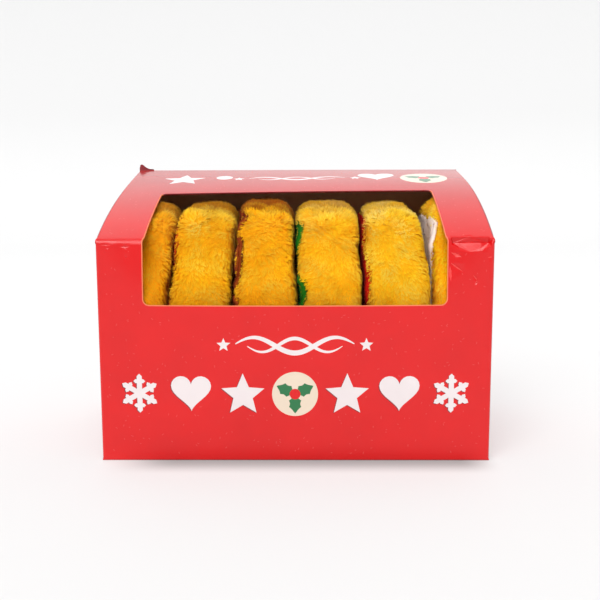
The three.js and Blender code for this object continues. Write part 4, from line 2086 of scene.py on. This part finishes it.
    def icing_point(self, angle: Array, reach: Array, lift: Array) -> Array:
        """Points on the ring's left face.

        Args:
            angle: way round the ring.
            reach: 0 at the icing's inner edge, 1 at its outer edge.
            lift: how far off the face.

        Returns:
            Their places.
        """
        form = self.form
        outer = 2 * form.icing_edge(angle) - 1
        inner = -1 + 2 * self.icing_inner / (form.half_height - form.hole_height)
        across = np.clip(lerp(inner, outer, reach), -0.999, 0.999)
        power = form.square(angle, self.plan.left_square)
        fullness = (1 - np.abs(across) ** power) ** (1 / power)
        lobes = self.plan.lobes
        wrap = math.radians(lobes.overhang) * lobes.at(angle) ** 2 * reach**3
        place, outward = form.skin(angle, np.arctan2(-fullness, across) + wrap)
        return form.held(place + outward * lift[:, None], 0.0)

    def icing_body(self, rng: np.random.Generator) -> MeshData:
        """Makes the icing: a padded layer with a lobed edge and short pile.

        Args:
            rng: source of the random draws.

        Returns:
            Its mesh.
        """
        shades = self.plan.icing.shades()
        around, over = self.icing_points
        a, t = np.meshgrid(full_turn(around), full_turn(over), indexing="ij")
        reach = 0.5 - 0.5 * np.sign(np.cos(t)) * np.abs(np.cos(t)) ** 0.5
        rise = np.where(np.sin(t) > 0, self.icing_thickness * np.abs(np.sin(t)) ** 0.3, 0.2) + 0.4
        points = self.icing_point(a.ravel(), reach.ravel(), rise.ravel())
        grid = points.reshape(around, over, 3)
        way_a = np.roll(grid, -1, 0) - np.roll(grid, 1, 0)
        way_t = np.roll(grid, -1, 1) - np.roll(grid, 1, 1)
        normals = unit(np.cross(way_a, way_t)).reshape(-1, 3)
        faces = closed_grid(around, over)
        centre = grid.mean(1, keepdims=True)
        if ((grid - centre).reshape(-1, 3) * normals).sum(1).mean() < 0:
            normals, faces = -normals, faces[:, ::-1]
        body = MeshData(points, faces, normals, np.tile(lerp(*shades[:2], 0.5), (len(points), 1)))
        # Most blades stand on the outer side of its upper front half.
        weight = np.where(np.sin(a) > 0.1, 1.0, 0.15) * np.where(np.cos(a) < 0.5, 1.0, 0.3)
        weight = weight * np.where(np.sin(t) >= -0.01, 1.0, 0.0) * (0.4 + reach)
        cells = rng.choice(weight.size, self.icing_blades, p=(weight / weight.sum()).ravel())
        roots = points[cells] + rng.normal(size=(len(cells), 3)) * [0.1, 0.5, 0.5]
        flow = np.stack([0 * cells, np.cos(a.ravel()[cells]), np.sin(a.ravel()[cells])], 1)
        tone = 1 + 0.08 * Ripple(self.number * 11, 8.0)(roots)[:, None]
        pile = Pile(self.plan.icing_pile, width=0.36, lean=(28.0, 64.0), gather=0.4, stray=0.3)
        hold = partial(self.form.held, margin=0.0)
        return body.joined(pile.grow(roots, normals[cells], flow, shades, tone, 0 * tone[:, 0], hold, rng))

    def build(self, finishes: dict[Plush, bpy.types.Material]) -> None:
        """Makes the toy's two pieces.

        Args:
            finishes: the material of each colour of plush.
        """
        rng = np.random.default_rng(40 + self.number)
        icing = self.plan.icing
        icing_slot = f"{icing.name.lower()}_icing"
        rows = (
            ("plush_ring", "doughnut", Plush.GOLD, "gold_plush", self.ring_fill, self.ring(rng)),
            ("icing_layer", "icing", icing, icing_slot, self.icing_fill, self.icing_body(rng)),
        )
        for kind, solid, colour, slot, fill, data in rows:
            node = f"{solid}_{self.number}"
            piece = data.to_object(f"{kind}_{self.number}", [finishes[colour]])
            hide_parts(node)
            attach(piece, "root")


@dataclass
class ToyRow:
    """The six toys side by side.

    Attributes:
        form: the carton that they stand in.
        partings: X of the planes beside and between them, at the floor and at the crown.
    """

    form: CartonForm
    partings: tuple[Pair, ...] = (
        (-98.8, -95.4),
        (-69.0, -61.7),
        (-32.6, -31.2),
        (6.0, -1.3),
        (37.5, 33.7),
        (70.2, 68.4),
        (98.8, 98.8),
    )

    def toys(self) -> list[Toy]:
        """Plans the toys.

        Returns:
            The toys from left to right.
        """
        planes = [Parting(*pair) for pair in self.partings]
        rings = [RingForm(self.form, *row) for row in zip(planes, planes[1:], TOY_PLANS)]
        return [Toy(number, ring) for number, ring in enumerate(rings, start=1)]

    def build(self) -> None:
        """Makes all toys with one finish for each colour."""
        finishes = {
            Plush.GOLD: PlushFinish("golden_plush", sheen=0.28, tint=(1.0, 0.82, 0.2), through=0.2).make(),
            Plush.GREEN: PlushFinish("green_plush", sheen=0.02, tint=(0.7, 1.0, 0.8)).make(),
            Plush.RED: PlushFinish("red_plush", sheen=0.02, tint=(1.0, 0.7, 0.7)).make(),
            Plush.CHOCOLATE: PlushFinish("brown_plush", sheen=0.02, tint=(1.0, 0.85, 0.7)).make(),
            Plush.WHITE: PlushFinish("white_plush", sheen=0.1, tint=(1.0, 1.0, 1.0), through=0.04).make(),
        }
        for toy in self.toys():
            toy.build(finishes)


# ---- the studio ----
@dataclass
class Studio:
    """Camera, floor, backdrop and light.

    Attributes:
        camera_place: in millimetres.
        pitch, yaw, roll: of the camera, in degrees; pitch is below the level.
        lens: in millimetres, on a 36 mm sensor.
        floor_colour: of floor and backdrop.
        floor_glow, wall_glow: how much light the backlit floor and backdrop give off.
        climb: Y, in metres, from where to where the one goes over into the other.
        painted_shadow_band: for each side of the band of painted shadow before the carton, its axis and
        where its soft edge starts and ends.
        sky: strength of the light from all round.
    """

    camera_place: tuple[float, float, float] = (7.39, -483.13, 142.61)
    pitch: float = 7.88
    yaw: float = 0.644
    roll: float = -0.17
    lens: float = 51.0
    floor_colour: Colour = (0.44, 0.44, 0.44)
    floor_glow: float = 0.365
    wall_glow: float = 0.285
    climb: Pair = (0.3, 1.5)
    painted_shadow_band: tuple[tuple[str, float, float], ...] = (
        ("Y", -80.0, -60.0),
        ("Y", 55.0, 20.0),
        ("X", -98.0, -60.0),
        ("X", 106.0, 84.0),
    )
    sky: float = 0.6

    def camera(self) -> None:
        """Sets up the camera."""
        data = bpy.data.cameras.new("camera")
        data.lens, data.sensor_width = self.lens, 36.0
        data.clip_start, data.clip_end = 0.01, 50.0
        camera = put("camera", data)
        spin = Matrix.Rotation(math.radians(self.yaw), 4, "Z")
        spin @= Matrix.Rotation(math.radians(90 - self.pitch), 4, "X")
        spin @= Matrix.Rotation(math.radians(self.roll), 4, "Z")
        camera.matrix_world = Matrix.Translation(Vector(self.camera_place) * MM) @ spin
        bpy.context.scene.camera = camera

    def sweep(self) -> None:
        """A floor that curves up into a backdrop."""
        width, front, back, height, bend = 9.0, -5.0, 3.2, 5.0, 1.6
        angles = np.linspace(0, np.pi / 2, 17)
        curve = np.stack([back - bend + bend * np.sin(angles), bend - bend * np.cos(angles)], 1)
        path = np.concatenate([[(front, 0.0)], curve, [(back, height)]])
        points = np.concatenate([np.insert(path, 0, side * width / 2, axis=1) for side in (-1, 1)])
        count = len(path)
        here = np.arange(count - 1)
        faces = np.stack([here, here + count, here + count + 1, here + 1], 1)
        mesh = bpy.data.meshes.new("sweep")
        mesh.from_pydata(points.tolist(), [], faces.tolist())
        mesh.polygons.foreach_set("use_smooth", np.ones(len(faces), bool))
        nodes = Nodes("paper_sweep")
        nodes.fix(Roughness=0.9, Specular_IOR_Level=0.1, Emission_Color=(1, 1, 1))
        axes = nodes.axes()
        glow = nodes.ramp(axes["Y"], self.climb, (self.floor_glow, self.wall_glow), "SMOOTHSTEP")
        # Painted shadow: a narrow band of the paper before the carton's lower edge is darkened, as if the
        # carton shaded it.
        shade = None
        for axis, start, end in self.painted_shadow_band:
            side = nodes.ramp(axes[axis], (start * MM, end * MM), curve="SMOOTHSTEP")
            shade = side if shade is None else nodes.number("MULTIPLY", shade, side)
        left = nodes.number("MULTIPLY_ADD", shade, -0.5, 1.0)
        nodes.link(nodes.number("MULTIPLY", glow, left), nodes.shader.inputs["Emission Strength"])
        # The paper's colour is halved in the same band of painted shadow.
        paper = nodes.mix(shade, self.floor_colour, tuple(v * 0.5 for v in self.floor_colour))
        nodes.link(paper, nodes.shader.inputs["Base Color"])
        mesh.materials.append(nodes.material)
        sweep = put("sweep", mesh)

    def lamp(self, name: str, place: Vector, size: Pair, watts: float) -> None:
        """Hangs a soft lamp that looks at the carton.

        Args:
            name: of the lamp.
            place: in metres.
            size: width and height, in metres.
            watts: its power.
        """
        data = bpy.data.lights.new(name, "AREA")
        data.shape, data.energy = "RECTANGLE", watts
        data.size, data.size_y = size
        lamp = put(name, data)
        lamp.location = place
        way = Vector((0, 0, 0.07)) - place
        lamp.rotation_euler = way.to_track_quat("-Z", "Y").to_euler()

    def sun(self, name: str, turn: float, height: float, spread: float, strength: float) -> None:
        """Sets up a far lamp.

        Args:
            name: of the lamp.
            turn: how far it is turned from straight ahead, in degrees.
            height: how high it stands over the level, in degrees.
            spread: the angle that its disc fills, in degrees.
            strength: its power over an area.
        """
        data = bpy.data.lights.new(name, "SUN")
        data.energy, data.angle = strength, math.radians(spread)
        lamp = put(name, data)
        lamp.rotation_euler = (math.radians(90 - height), 0, math.radians(turn))

    def light(self) -> None:
        """The light from all round and the lamps."""
        world = bpy.data.worlds.new("studio")
        world.use_nodes = True
        sky = world.node_tree.nodes["Background"]
        sky.inputs["Color"].default_value = (1, 1, 1, 1)
        sky.inputs["Strength"].default_value = self.sky
        bpy.context.scene.world = world
        self.sun("front_softbox", turn=-15.0, height=42.0, spread=50.0, strength=1.7)
        self.sun("overhead_softbox", turn=-10.0, height=66.0, spread=40.0, strength=1.0)
        self.lamp("rear_softbox", place=Vector((0.0, 1.5, 1.55)), size=(3.6, 2.2), watts=14.0)

    def build(self) -> None:
        """Sets up the whole studio."""
        self.camera()
        self.sweep()
        self.light()
        bpy.context.scene.view_settings.view_transform = "Standard"


def main() -> None:
    """Builds the studio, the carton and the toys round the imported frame."""
    logging.basicConfig(level=logging.INFO, format="%(name)s: %(message)s")
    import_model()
    form = CartonForm()
    Studio().build()
    Carton(form).build()
    ToyRow(form).build()


if __name__ == "__main__":
    main()
